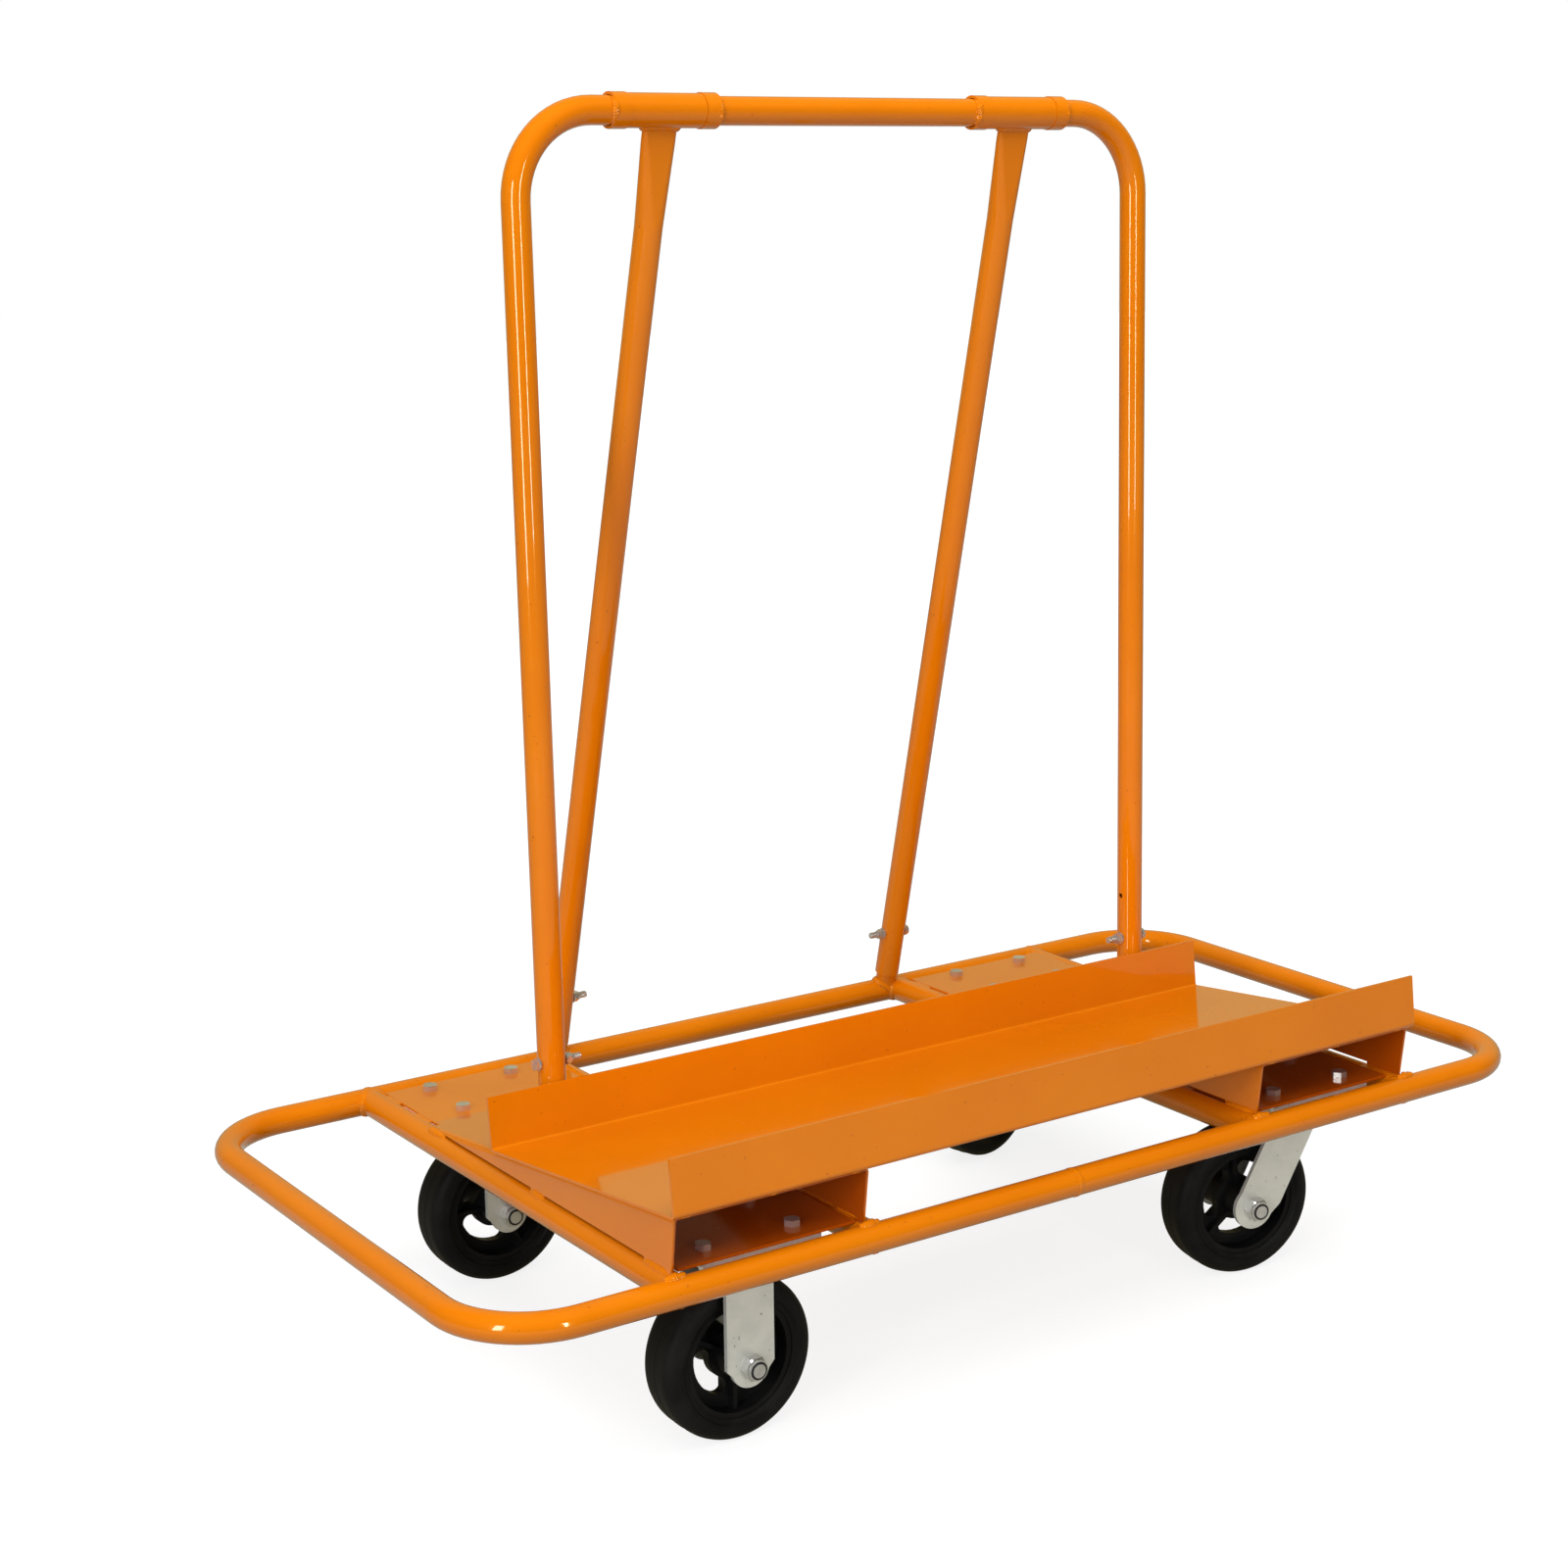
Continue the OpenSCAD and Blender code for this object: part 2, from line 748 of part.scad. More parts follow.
// Tyre about a wheel's middle, with a stepped side wall
module tyre() {
    half = wheel_w / 2;
    in_r = rim_r + seat_gap;
    step_r = in_r + step_share * (wheel_r - shoulder_r - in_r);
    mid = [wheel_r - shoulder_r, half - shoulder_r];
    upper = concat(
        arc(mid, shoulder_r, 0, 90),
        [[step_r, half],
         [step_r - step_t, half - step_t],
         [in_r, half - bead_side]]
    );
    count = len(upper);
    lower = [for (i = [count - 1:-1:0]) [upper[i][0], -upper[i][1]]];
    color(rubber) turned() polygon(concat(upper, lower));
}

// Kidney window of a wheel core, as a flat shape
module window() {
    reach = 180 / windows * window_share - asin(window_half / window_mid);
    polygon(concat(
        arc([0, 0], window_mid + window_half, -reach, reach),
        arc([0, 0], window_mid - window_half, reach, -reach)
    ));
    for (s = [-1, 1])
        rotate([0, 0, s * reach]) translate([window_mid, 0]) circle(r = window_half);
}

// Core of a wheel, at its rest angle: rim, web with windows, ribs and hub
module core(turn) {
    half = wheel_w / 2 - rim_side;
    color(black)
        rotate([90, 0, 0]) rotate([0, 0, turn])
            difference() {
                union() {
                    rotate_extrude() {
                        translate([rim_r - rim_t, -half]) square([rim_t, 2 * half]);
                        translate([0, -hub_l / 2]) square([hub_r, hub_l]);
                    }
                    linear_extrude(web_t, center = true)
                        difference() {
                            circle(r = rim_r - rim_t / 2);
                            for (i = [0:windows - 1]) rotate([0, 0, 360 * i / windows]) window();
                        }
                    for (i = [0:windows - 1])
                        rotate([0, 0, 360 * (i + 1 / 2) / windows])
                            translate([hub_r / 2, -rib_t / 2, rib_side - half])
                                cube([rim_r - rim_t / 2 - hub_r / 2, rib_t, 2 * (half - rib_side)]);
                }
                cylinder(r = bush_r + seat_gap, h = hub_l + 2 * overrun, center = true);
            }
}

// Bush in a wheel's hub
module bush() {
    color(bronze)
        difference() {
            rod_y(2 * bush_r, hub_l);
            rod_y(2 * axle_sleeve_r + 2 * run_gap, hub_l + 2 * overrun);
        }
}

// Wheel middle of a left caster
module at_rigid_wheel(end) {
    at_rigid(end) translate([0, 0, wheel_r]) children();
}

// Wheel middle of a right caster
module at_swivel_wheel(end) {
    at_swivel(end) at_trail() children();
}

// Bodies of the cart
module base_loop() {
    color(paint)
        translate([0, 0, rail_z])
            difference() {
                loop_bar(tube_d);
                loop_bar(bore_d);
            }
}

module outer_left_tube() cross_tube(-outer_x);
module inner_left_tube() cross_tube(-inner_x);
module inner_right_tube() cross_tube(inner_x);
module outer_right_tube() cross_tube(outer_x);
module left_support() sided(-1) support();
module right_support() sided(1) support();
module left_front_seat() sided(-1) front_seat();
module right_front_seat() sided(1) front_seat();

module load_tray() {
    color(paint)
        slope_frame()
            translate([-tray_l / 2, -tray_s - tray_w / 2, 0])
                rotate([90, 0, 90])
                    linear_extrude(tray_l) channel(tray_w, tray_lip);
}

module left_hoop_stub() sided(-1) hoop_stub();
module right_hoop_stub() sided(1) hoop_stub();
module left_brace_stub() sided(-1) brace_stub();
module right_brace_stub() sided(1) brace_stub();

module hoop() {
    color(paint)
        hoop_frame()
            difference() {
                hoop_bar(tube_d, hoop_lift);
                hoop_bar(bore_d, hoop_lift - overrun);
                for (s = [-1, 1])
                    translate([s * hoop_x, 0, hoop_bolt_up]) {
                        rod_x(frame_bolt_d + 2 * hole_gap, 2 * tube_d);
                        translate([0, 0, vent_up]) rotate([0, -90 * s, 0]) cylinder(d = vent_d, h = tube_d);
                    }
            }
}

module left_brace() sided(-1) brace();
module right_brace() sided(1) brace();
module left_sleeve() sided(-1) brace_sleeve();
module right_sleeve() sided(1) brace_sleeve();

module stop_collars() {
    color(paint)
        for (s = [-1, 1], e = [-1, 1])
            translate([s * sleeve_x + e * collar_x, bar_y, bar_z])
                difference() {
                    rod_x(collar_d, collar_l);
                    rod_x(tube_d + 2 * collar_play, collar_l + 2 * overrun);
                }
}

module frame_bolts() {
    grip = tube_d + 2 * washer_t;
    color(zinc)
        at_frame_bolts()
            translate([0, 0, grip / 2])
                bolt(frame_bolt_d, grip + frame_bolt_d * (nut_share + collar_share) + frame_tail);
}

module frame_washers() {
    color(zinc)
        at_frame_bolts() {
            translate([0, 0, tube_r]) washer(frame_bolt_d);
            translate([0, 0, -tube_r - washer_t]) washer(frame_bolt_d);
        }
}

module frame_nuts() {
    color(zinc)
        at_frame_bolts()
            translate([0, 0, -tube_r - washer_t]) rotate([180, 0, 0]) nut(frame_bolt_d);
}

module caster_bolts() {
    color(zinc)
        for (s = [-1, 1], end = [-1, 1])
            translate([s * caster_x, end * caster_y, seat_top])
                at_bolts()
                    bolt(bolt_d, sheet_t + top_t + bolt_d * (nut_share + collar_share) + bolt_tail,
                         caster_head_share);
}

module caster_nuts() {
    color(zinc)
        for (s = [-1, 1], end = [-1, 1])
            translate([s * caster_x, end * caster_y, plate_low])
                at_bolts() rotate([180, 0, 0]) nut(bolt_d);
}

module front_left_fork() at_rigid(-1) rigid_fork();
module rear_left_fork() at_rigid(1) rigid_fork();

module rigid_axles() {
    for (end = [-1, 1])
        at_rigid_wheel(end) axle();
}

module rigid_axle_nuts() {
    for (end = [-1, 1])
        at_rigid_wheel(end) axle_nut();
}

module rigid_axle_sleeves() {
    for (end = [-1, 1])
        at_rigid_wheel(end) axle_sleeve();
}

module front_swivel_plate() swivel_plate(-1);
module rear_swivel_plate() swivel_plate(1);
module front_kingpin() kingpin(-1);
module rear_kingpin() kingpin(1);
module front_right_fork() swivel_fork(-1);
module rear_right_fork() swivel_fork(1);
module front_balls() ball_ring(-1);
module rear_balls() ball_ring(1);
module front_right_axle() at_swivel_wheel(-1) axle();
module rear_right_axle() at_swivel_wheel(1) axle();
module front_right_axle_nut() at_swivel_wheel(-1) axle_nut();
module rear_right_axle_nut() at_swivel_wheel(1) axle_nut();
module front_right_axle_sleeve() at_swivel_wheel(-1) axle_sleeve();
module rear_right_axle_sleeve() at_swivel_wheel(1) axle_sleeve();
module front_left_tyre() at_rigid_wheel(-1) tyre();
module rear_left_tyre() at_rigid_wheel(1) tyre();
module front_right_tyre() at_swivel_wheel(-1) tyre();
module rear_right_tyre() at_swivel_wheel(1) tyre();
module front_left_core() at_rigid_wheel(-1) core(core_turns[0]);
module rear_left_core() at_rigid_wheel(1) core(core_turns[1]);
module front_right_core() at_swivel_wheel(-1) core(core_turns[2]);
module rear_right_core() at_swivel_wheel(1) core(core_turns[3]);
module front_left_bush() at_rigid_wheel(-1) bush();
module rear_left_bush() at_rigid_wheel(1) bush();
module front_right_bush() at_swivel_wheel(-1) bush();
module rear_right_bush() at_swivel_wheel(1) bush();

base_loop();
outer_left_tube();
inner_left_tube();
inner_right_tube();
outer_right_tube();
left_support();
right_support();
left_front_seat();
right_front_seat();
load_tray();
left_hoop_stub();
right_hoop_stub();
left_brace_stub();
right_brace_stub();
hoop();
left_brace();
right_brace();
left_sleeve();
right_sleeve();
stop_collars();
frame_bolts();
frame_washers();
frame_nuts();
caster_bolts();
caster_nuts();
front_left_fork();
rear_left_fork();
rigid_axles();
rigid_axle_nuts();
rigid_axle_sleeves();
front_swivel_plate();
rear_swivel_plate();
front_kingpin();
rear_kingpin();
front_right_fork();
rear_right_fork();
front_balls();
rear_balls();
front_right_axle();
rear_right_axle();
front_right_axle_nut();
rear_right_axle_nut();
front_right_axle_sleeve();
rear_right_axle_sleeve();
front_left_tyre();
rear_left_tyre();
front_right_tyre();
rear_right_tyre();
front_left_core();
rear_left_core();
front_right_core();
rear_right_core();
front_left_bush();
rear_left_bush();
front_right_bush();
rear_right_bush();
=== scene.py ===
"""Looks of a drywall cart: enamel, zinc, rubber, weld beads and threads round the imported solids."""

from __future__ import annotations

import json
import logging
import math
import random
from collections.abc import Iterable, Iterator, Mapping, Sequence
from dataclasses import dataclass, field
from enum import Enum
from typing import Union

import bmesh
import bpy
from mathutils import Matrix, Vector

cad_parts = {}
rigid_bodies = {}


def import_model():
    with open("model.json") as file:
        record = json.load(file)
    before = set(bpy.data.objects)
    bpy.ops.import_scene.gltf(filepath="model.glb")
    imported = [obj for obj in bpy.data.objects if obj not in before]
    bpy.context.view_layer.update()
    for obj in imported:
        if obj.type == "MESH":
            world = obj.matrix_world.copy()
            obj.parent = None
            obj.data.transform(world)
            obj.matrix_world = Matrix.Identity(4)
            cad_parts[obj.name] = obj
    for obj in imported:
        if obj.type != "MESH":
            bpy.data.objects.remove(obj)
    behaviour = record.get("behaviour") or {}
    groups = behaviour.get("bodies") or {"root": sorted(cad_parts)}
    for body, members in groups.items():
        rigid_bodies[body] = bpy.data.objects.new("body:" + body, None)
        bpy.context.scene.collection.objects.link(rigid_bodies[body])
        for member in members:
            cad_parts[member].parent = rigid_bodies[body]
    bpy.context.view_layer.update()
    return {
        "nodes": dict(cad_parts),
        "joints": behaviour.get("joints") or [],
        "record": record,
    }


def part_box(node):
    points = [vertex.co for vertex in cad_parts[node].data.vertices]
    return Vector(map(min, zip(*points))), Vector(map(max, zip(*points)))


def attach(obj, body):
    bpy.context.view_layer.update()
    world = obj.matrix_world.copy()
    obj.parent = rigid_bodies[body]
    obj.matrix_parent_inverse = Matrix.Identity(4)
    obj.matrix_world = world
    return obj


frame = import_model()

log = logging.getLogger("drywall_cart")

Colour = tuple[float, float, float]
Scales = tuple[float, float, float]
Span = tuple[float, float]
Term = Union["Wire", float, int, Sequence[float], Vector]
MM = 0.001
WHITE: Colour = (1.0, 1.0, 1.0)
X, Y, Z = Vector((1, 0, 0)), Vector((0, 1, 0)), Vector((0, 0, 1))


class Way(Enum):
    """A direction on the cart, whose value is its sign along an axis."""

    @property
    def word(self) -> str:
        """The direction as node names spell it."""
        return self.name.lower()


class Side(Way):
    """The two halves of the cart, along X."""

    LEFT = -1
    RIGHT = 1


class End(Way):
    """The two caster rows of the cart, along Y."""

    FRONT = -1
    REAR = 1


class Slot(Enum):
    """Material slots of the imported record."""

    PAINT = "orange_paint"
    ZINC = "zinc"
    RUBBER = "tyre_rubber"
    CORE = "wheel_black"
    BUSH = "bush_bronze"


class Wire:
    """An output socket whose operators add Math nodes to its tree."""

    def __init__(self, tree: Tree, socket: bpy.types.NodeSocket) -> None:
        """Wraps one socket.

        Args:
            tree: The tree that the socket belongs to.
            socket: The output socket.
        """
        self.tree = tree
        self.socket = socket

    def _join(self, operation: str, first: Term, second: Term) -> Wire:
        """Adds one Math node over two terms."""
        return self.tree.node("ShaderNodeMath", {"operation": operation}, {0: first, 1: second})

    def __add__(self, other: Term) -> Wire:
        """Sum."""
        return self._join("ADD", self, other)

    def __radd__(self, other: Term) -> Wire:
        """Sum, reflected."""
        return self._join("ADD", other, self)

    def __sub__(self, other: Term) -> Wire:
        """Difference."""
        return self._join("SUBTRACT", self, other)

    def __rsub__(self, other: Term) -> Wire:
        """Difference, reflected."""
        return self._join("SUBTRACT", other, self)

    def __mul__(self, other: Term) -> Wire:
        """Product."""
        return self._join("MULTIPLY", self, other)

    def __rmul__(self, other: Term) -> Wire:
        """Product, reflected."""
        return self._join("MULTIPLY", other, self)

    def between(self, low: float, high: float) -> Wire:
        """Smooth step from 0 at the low value to 1 at the high one."""
        settings = {"interpolation_type": "SMOOTHSTEP"}
        return self.tree.node("ShaderNodeMapRange", settings, {"Value": self, "From Min": low, "From Max": high})


class Tree:
    """Node tree of one material or of the world, built by expressions."""

    def __init__(self, owner: bpy.types.ID) -> None:
        """Empties the owner's tree.

        Args:
            owner: A material or a world.
        """
        owner.use_nodes = True
        self.nodes = owner.node_tree.nodes
        self.links = owner.node_tree.links
        self.nodes.clear()

    def node(
        self,
        kind: str,
        settings: Mapping[str, object] | None = None,
        inputs: Mapping[int | str, Term] | None = None,
        out: int | str = 0,
    ) -> Wire:
        """Adds one node.

        Args:
            kind: Blender's name of the node type.
            settings: Attributes that are set before the sockets.
            inputs: Values or wires by socket name or number.
            out: The output socket to return.

        Returns:
            The chosen output as a wire.
        """
        made = self.nodes.new(kind)
        for key, value in (settings or {}).items():
            setattr(made, key, value)
        for key, value in (inputs or {}).items():
            if isinstance(value, Wire):
                self.links.new(value.socket, made.inputs[key])
            else:
                made.inputs[key].default_value = value
        return Wire(self, made.outputs[out])

    def place(self) -> Wire:
        """Point on the piece in its own metres."""
        return self.node("ShaderNodeTexCoord", out="Object")

    def vector(self, operation: str, first: Term, second: Term, out: int = 0) -> Wire:
        """One Vector Math node."""
        return self.node("ShaderNodeVectorMath", {"operation": operation}, {0: first, 1: second}, out)

    def dot(self, first: Wire, second: Wire | Vector) -> Wire:
        """Dot product of two vectors."""
        return self.vector("DOT_PRODUCT", first, second, 1)

    def noise(self, place: Wire, scale: float, detail: float = 2.0, rough: float = 0.5) -> Wire:
        """Value noise about one half, with that many cells to the metre."""
        inputs = {"Vector": place, "Scale": scale, "Detail": detail, "Roughness": rough}
        return self.node("ShaderNodeTexNoise", inputs=inputs)

    def mix(self, factor: Term, first: Term, second: Term) -> Wire:
        """Colour between two colours.

        Args:
            factor: Share of the second colour.
            first: Colour at 0.
            second: Colour at 1.

        Returns:
            The mixed colour.
        """
        inputs = {0: factor, 6: _rgba(first), 7: _rgba(second)}
        return self.node("ShaderNodeMix", {"data_type": "RGBA", "clamp_factor": True}, inputs, 2)

    def bump(self, height: Wire, depth: float) -> Wire:
        """Normal of a height that spans that depth in metres."""
        return self.node("ShaderNodeBump", inputs={"Height": height, "Distance": depth})

    def surface(self, sockets: Mapping[int | str, Term]) -> None:
        """Ends the tree in a Principled shader with these sockets."""
        self.end(self.node("ShaderNodeBsdfPrincipled", inputs=sockets))

    def end(self, shader: Wire, kind: str = "ShaderNodeOutputMaterial") -> None:
        """Links a shader to the output node."""
        made = self.nodes.new(kind)
        self.links.new(shader.socket, made.inputs["Surface"])


def _rgba(value: Term) -> Term:
    """Gives a plain colour its alpha, and leaves a wire as it is."""
    return value if isinstance(value, Wire) else (*value, 1.0)


class Finish:
    """A finish that fills the node tree of a new material."""

    def make(self, name: str) -> bpy.types.Material:
        """Makes a material of this finish.

        Args:
            name: Name of the material.

        Returns:
            The finished material.
        """
        material = bpy.data.materials.new(name)
        self.fill(Tree(material))
        return material

    def fill(self, tree: Tree) -> None:
        """Adds the finish's own nodes to an empty tree."""
        raise NotImplementedError


@dataclass(frozen=True)
class SprayShadow:
    """Space under a support whose faces get painted shade: a darker colour that stands in for the shade inside the
    box.
    """

    low_x: float
    high_x: float
    slope_point: Vector
    slope_normal: Vector
    skin: float = 1.2 * MM
    soft: float = 0.6 * MM

    def share(self, tree: Tree, place: Wire) -> Wire:
        """Share of painted shade at a point.

        Args:
            tree: The tree to add to.
            place: Point on the piece.

        Returns:
            1 on the faces that look into the space, 0 on the others.
        """
        across = tree.dot(place, X)
        height = tree.dot(tree.vector("SUBTRACT", place, self.slope_point), self.slope_normal)
        low, high = self.skin - self.soft, self.skin + self.soft
        inside = across.between(self.low_x + low, self.low_x + high)
        inside = inside * (1 - across.between(self.high_x - high, self.high_x - low))
        return inside * (1 - height.between(-high, -low))


@dataclass(frozen=True)
class Enamel(Finish):
    """Glossy sprayed enamel with orange peel, thin clouds and dust specks, and painted shade inside a support's box
    where a box is given.
    """

    colour: Colour = (0.755, 0.196, 0.0012)
    shade: Colour = (0.715, 0.178, 0.001)
    shine: Colour = (1.0, 0.97, 0.3)
    speck: Colour = (0.30, 0.050, 0.004)
    # painted shade: a darker colour, and the box it is painted in, that stand in for the shade inside the supports
    thin: Colour = (0.45, 0.075, 0.001)
    shadow: SprayShadow | None = None
    cloud_scale: float = 7.0
    speck_scale: float = 260.0
    smudge_scale: float = 38.0
    peel_scale: float = 420.0
    peel_depth: float = 0.018 * MM
    rough: float = 0.10
    gloss: float = 0.32
    coat: float = 0.9
    coat_rough: float = 0.028

    def fill(self, tree: Tree) -> None:
        """Builds the enamel.

        Args:
            tree: The empty tree of its material.
        """
        place = tree.place()
        cloud = tree.noise(place, self.cloud_scale, 4.0).between(0.3, 0.7)
        specks = tree.noise(place, self.speck_scale, 1.0).between(0.755, 0.80)
        smudge = tree.noise(place, self.smudge_scale, 5.0, 0.6).between(0.35, 0.75)
        peel = tree.noise(place, self.peel_scale, 1.5)
        colour = tree.mix(cloud, self.shade, self.colour)
        # paint the shade inside a support's box as a darker colour
        if self.shadow:
            colour = tree.mix(self.shadow.share(tree, place), colour, self.thin)
        tree.surface({
            "Base Color": tree.mix(specks * 0.7, colour, self.speck),
            "Roughness": self.rough + smudge * 0.08 + specks * 0.2,
            "Specular IOR Level": self.gloss,
            "Specular Tint": _rgba(self.shine),
            "Coat Weight": self.coat - specks * 0.5,
            "Coat Roughness": self.coat_rough,
            "Normal": tree.bump(peel, self.peel_depth),
        })


@dataclass(frozen=True)
class ZincPlate(Finish):
    """Zinc with a dull passivated cloud, rub marks and fine scratches."""

    colour: Colour = (0.86, 0.87, 0.81)
    dull: Colour = (0.77, 0.78, 0.73)
    mark: Colour = (0.17, 0.16, 0.14)
    rough: float = 0.36
    metal: float = 0.55
    rubbed: float = 0.6
    cloud_scale: float = 45.0
    grain_scales: Scales = (900.0, 900.0, 70.0)
    rub_scales: Scales = (60.0, 60.0, 16.0)
    nick_scales: Scales = (260.0, 260.0, 150.0)
    grain_depth: float = 0.03 * MM

    def fill(self, tree: Tree) -> None:
        """Builds the plating.

        Args:
            tree: The empty tree of its material.
        """
        place = tree.place()
        cloud = tree.noise(place, self.cloud_scale, 5.0, 0.6).between(0.35, 0.7)
        grain = tree.noise(tree.vector("MULTIPLY", place, self.grain_scales), 1.0, 3.0)
        rub = tree.noise(tree.vector("MULTIPLY", place, self.rub_scales), 1.0, 6.0, 0.7).between(0.64, 0.74)
        nicks = tree.noise(tree.vector("MULTIPLY", place, self.nick_scales), 1.0, 2.0).between(0.70, 0.75)
        colour = tree.mix(cloud, self.colour, self.dull)
        worn = tree.mix(rub * self.rubbed, colour, self.mark)
        tree.surface({
            "Base Color": tree.mix(nicks * self.rubbed, worn, self.mark),
            "Metallic": self.metal - rub * 0.4,
            "Roughness": self.rough + cloud * 0.10 + (grain - 0.5) * 0.12 + rub * 0.2,
            "Normal": tree.bump(grain, self.grain_depth),
        })


@dataclass(frozen=True)
class WheelFinish(Finish):
    """Black wheel finish with rings about the wheel's own axle."""

    centre: Vector
    axle: Vector
    colour: Colour
    dust: Colour
    dusty: float
    rough: float
    ring_scale: float
    ring_depth: float
    cloud_scale: float = 30.0
    grain_scale: float = 1400.0
    gloss: float = 0.11

    def fill(self, tree: Tree) -> None:
        """Builds the finish.

        Args:
            tree: The empty tree of its material.
        """
        place = tree.place()
        arm = tree.vector("SUBTRACT", place, self.centre)
        along = tree.dot(arm, self.axle)
        rings = tree.node("ShaderNodeMath", {"operation": "SQRT"}, {0: tree.dot(arm, arm) - along * along})
        sweep = tree.node("ShaderNodeCombineXYZ", inputs={0: rings * self.ring_scale, 1: along * self.ring_scale})
        ridge = tree.noise(sweep, 1.0, 2.0)
        cloud = tree.noise(place, self.cloud_scale, 5.0, 0.6).between(0.38, 0.75)
        grain = tree.noise(place, self.grain_scale, 2.0)
        film = cloud * self.dusty + ridge.between(0.5, 0.8) * (self.dusty / 2)
        tree.surface({
            "Base Color": tree.mix(film, self.colour, self.dust),
            "Roughness": self.rough + cloud * 0.14 + (grain - 0.5) * 0.1,
            "Specular IOR Level": self.gloss,
            "Normal": tree.bump(ridge + grain * 0.5, self.ring_depth),
        })


@dataclass(frozen=True)
class Moulding(Finish):
    """Dark moulded plastic of the lock nuts' rings."""

    colour: Colour = (0.012, 0.012, 0.013)
    worn: Colour = (0.05, 0.05, 0.048)
    wear_scale: float = 600.0
    wear_depth: float = 0.02 * MM

    def fill(self, tree: Tree) -> None:
        """Builds the plastic.

        Args:
            tree: The empty tree of its material.
        """
        wear = tree.noise(tree.place(), self.wear_scale, 3.0)
        tree.surface({
            "Base Color": tree.mix(wear.between(0.5, 0.8), self.colour, self.worn),
            "Roughness": 0.4 + wear * 0.2,
            "Normal": tree.bump(wear, self.wear_depth),
        })


@dataclass(frozen=True)
class Bronze(Finish):
    """Oiled bronze of the hub bushes."""

    colour: Colour = (0.46, 0.29, 0.11)
    oil: Colour = (0.08, 0.05, 0.03)
    oil_scale: float = 120.0

    def fill(self, tree: Tree) -> None:
        """Builds the bronze.

        Args:
            tree: The empty tree of its material.
        """
        oil = tree.noise(tree.place(), self.oil_scale, 4.0).between(0.45, 0.7)
        tree.surface({
            "Base Color": tree.mix(oil * 0.8, self.colour, self.oil),
            "Metallic": 0.9 - oil * 0.3,
            "Roughness": 0.35 + oil * 0.2,
        })


class Finishes:
    """The cart's materials, each made once."""

    def __init__(self) -> None:
        """Makes the shared finishes."""
        self.made: dict[Slot, bpy.types.Material] = {
            Slot.PAINT: Enamel().make("orange_enamel"),
            Slot.ZINC: ZincPlate().make("zinc_plate"),
            Slot.BUSH: Bronze().make("oiled_bronze"),
        }
        self.bright_zinc = ZincPlate((0.74, 0.75, 0.76), (0.55, 0.55, 0.55), rough=0.14, metal=0.84).make("zinc_nuts")
        self.bolt_zinc = ZincPlate((0.84, 0.83, 0.82), (0.64, 0.63, 0.62), rough=0.16, metal=0.82).make("zinc_bolts")
        self.lock_ring = Moulding().make("nut_ring")

    def shared(self, slot: Slot) -> bpy.types.Material:
        """The finish that all pieces of a slot share."""
        return self.made[slot]

    def dress_node(self, node: str, material: bpy.types.Material) -> None:
        """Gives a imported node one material.

        Args:
            node: Name of the node.
            material: Its finish.
        """
        mesh = frame["nodes"][node].data
        mesh.materials.clear()
        mesh.materials.append(material)
        log.info("dressed %s with %s", node, material.name)


def box_middle(node: str) -> Vector:
    """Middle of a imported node's box."""
    low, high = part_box(node)
    return (low + high) / 2


@dataclass(frozen=True)
class Measures:
    """Driving sizes of the cart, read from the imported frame, in metres."""

    tube_r: float
    rail_y: float
    rail_z: float
    seat_top: float
    slope: float
    fold_y: float
    front_y: float
    bar: Vector

    @classmethod
    def from_frame(cls) -> Measures:
        """Reads the sizes.

        Returns:
            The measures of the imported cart.
        """
        low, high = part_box("base_loop")
        tube_r = (high.z - low.z) / 2
        seat_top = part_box("left_front_seat")[1].z
        axis = frame["record"]["mounts"][0]["axis"]
        slope = math.atan2(axis[1], axis[2])
        support_low, support_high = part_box("right_support")
        return cls(
            tube_r=tube_r,
            rail_y=high.y - tube_r,
            rail_z=(low.z + high.z) / 2,
            seat_top=seat_top,
            slope=slope,
            fold_y=support_low.y + (support_high.z - seat_top) / math.tan(slope),
            front_y=support_low.y,
            bar=box_middle("right_sleeve"),
        )

    def tube_top(self, offset: float) -> float:
        """Height of a frame tube's skin at that sideways offset from its middle."""
        return self.rail_z + math.sqrt(self.tube_r**2 - offset**2)

    def slope_z(self, y: float) -> float:
        """Height of the supports' slope at a depth."""
        return self.seat_top + (self.fold_y - y) * math.tan(self.slope)

    @property
    def slope_front(self) -> Vector:
        """Front edge of the slope, in the middle of the cart."""
        return Vector((0, self.front_y, self.slope_z(self.front_y)))

    @property
    def slope_normal(self) -> Vector:
        """Upward normal of the slope."""
        return Vector((0, math.sin(self.slope), math.cos(self.slope)))


def mesh_piece(name: str, rings: Sequence[Sequence[Vector]], closed: bool) -> bpy.types.Object:
    """Skins a row of equal rings as one smooth closed mesh.

    Args:
        name: Name of the piece.
        rings: Rings of points, each running the same way round.
        closed: Whether the last ring joins the first, or the ends are capped.

    Returns:
        The new object, linked to the scene.
    """
    mesh = bpy.data.meshes.new(name)
    made = bmesh.new()
    rows = [[made.verts.new(point) for point in ring] for ring in rings]
    count = len(rows)
    for at in range(count if closed else count - 1):
        here, after = rows[at], rows[(at + 1) % count]
        for side in range(len(here)):
            turn = (side + 1) % len(here)
            made.faces.new((here[side], here[turn], after[turn], after[side]))
    if not closed:
        made.faces.new(tuple(reversed(rows[0])))
        made.faces.new(tuple(rows[-1]))
    bmesh.ops.recalc_face_normals(made, faces=made.faces)
    made.to_mesh(mesh)
    made.free()
    mesh.polygons.foreach_set("use_smooth", [True] * len(mesh.polygons))
    piece = bpy.data.objects.new(name, mesh)
    bpy.context.scene.collection.objects.link(piece)
    return piece


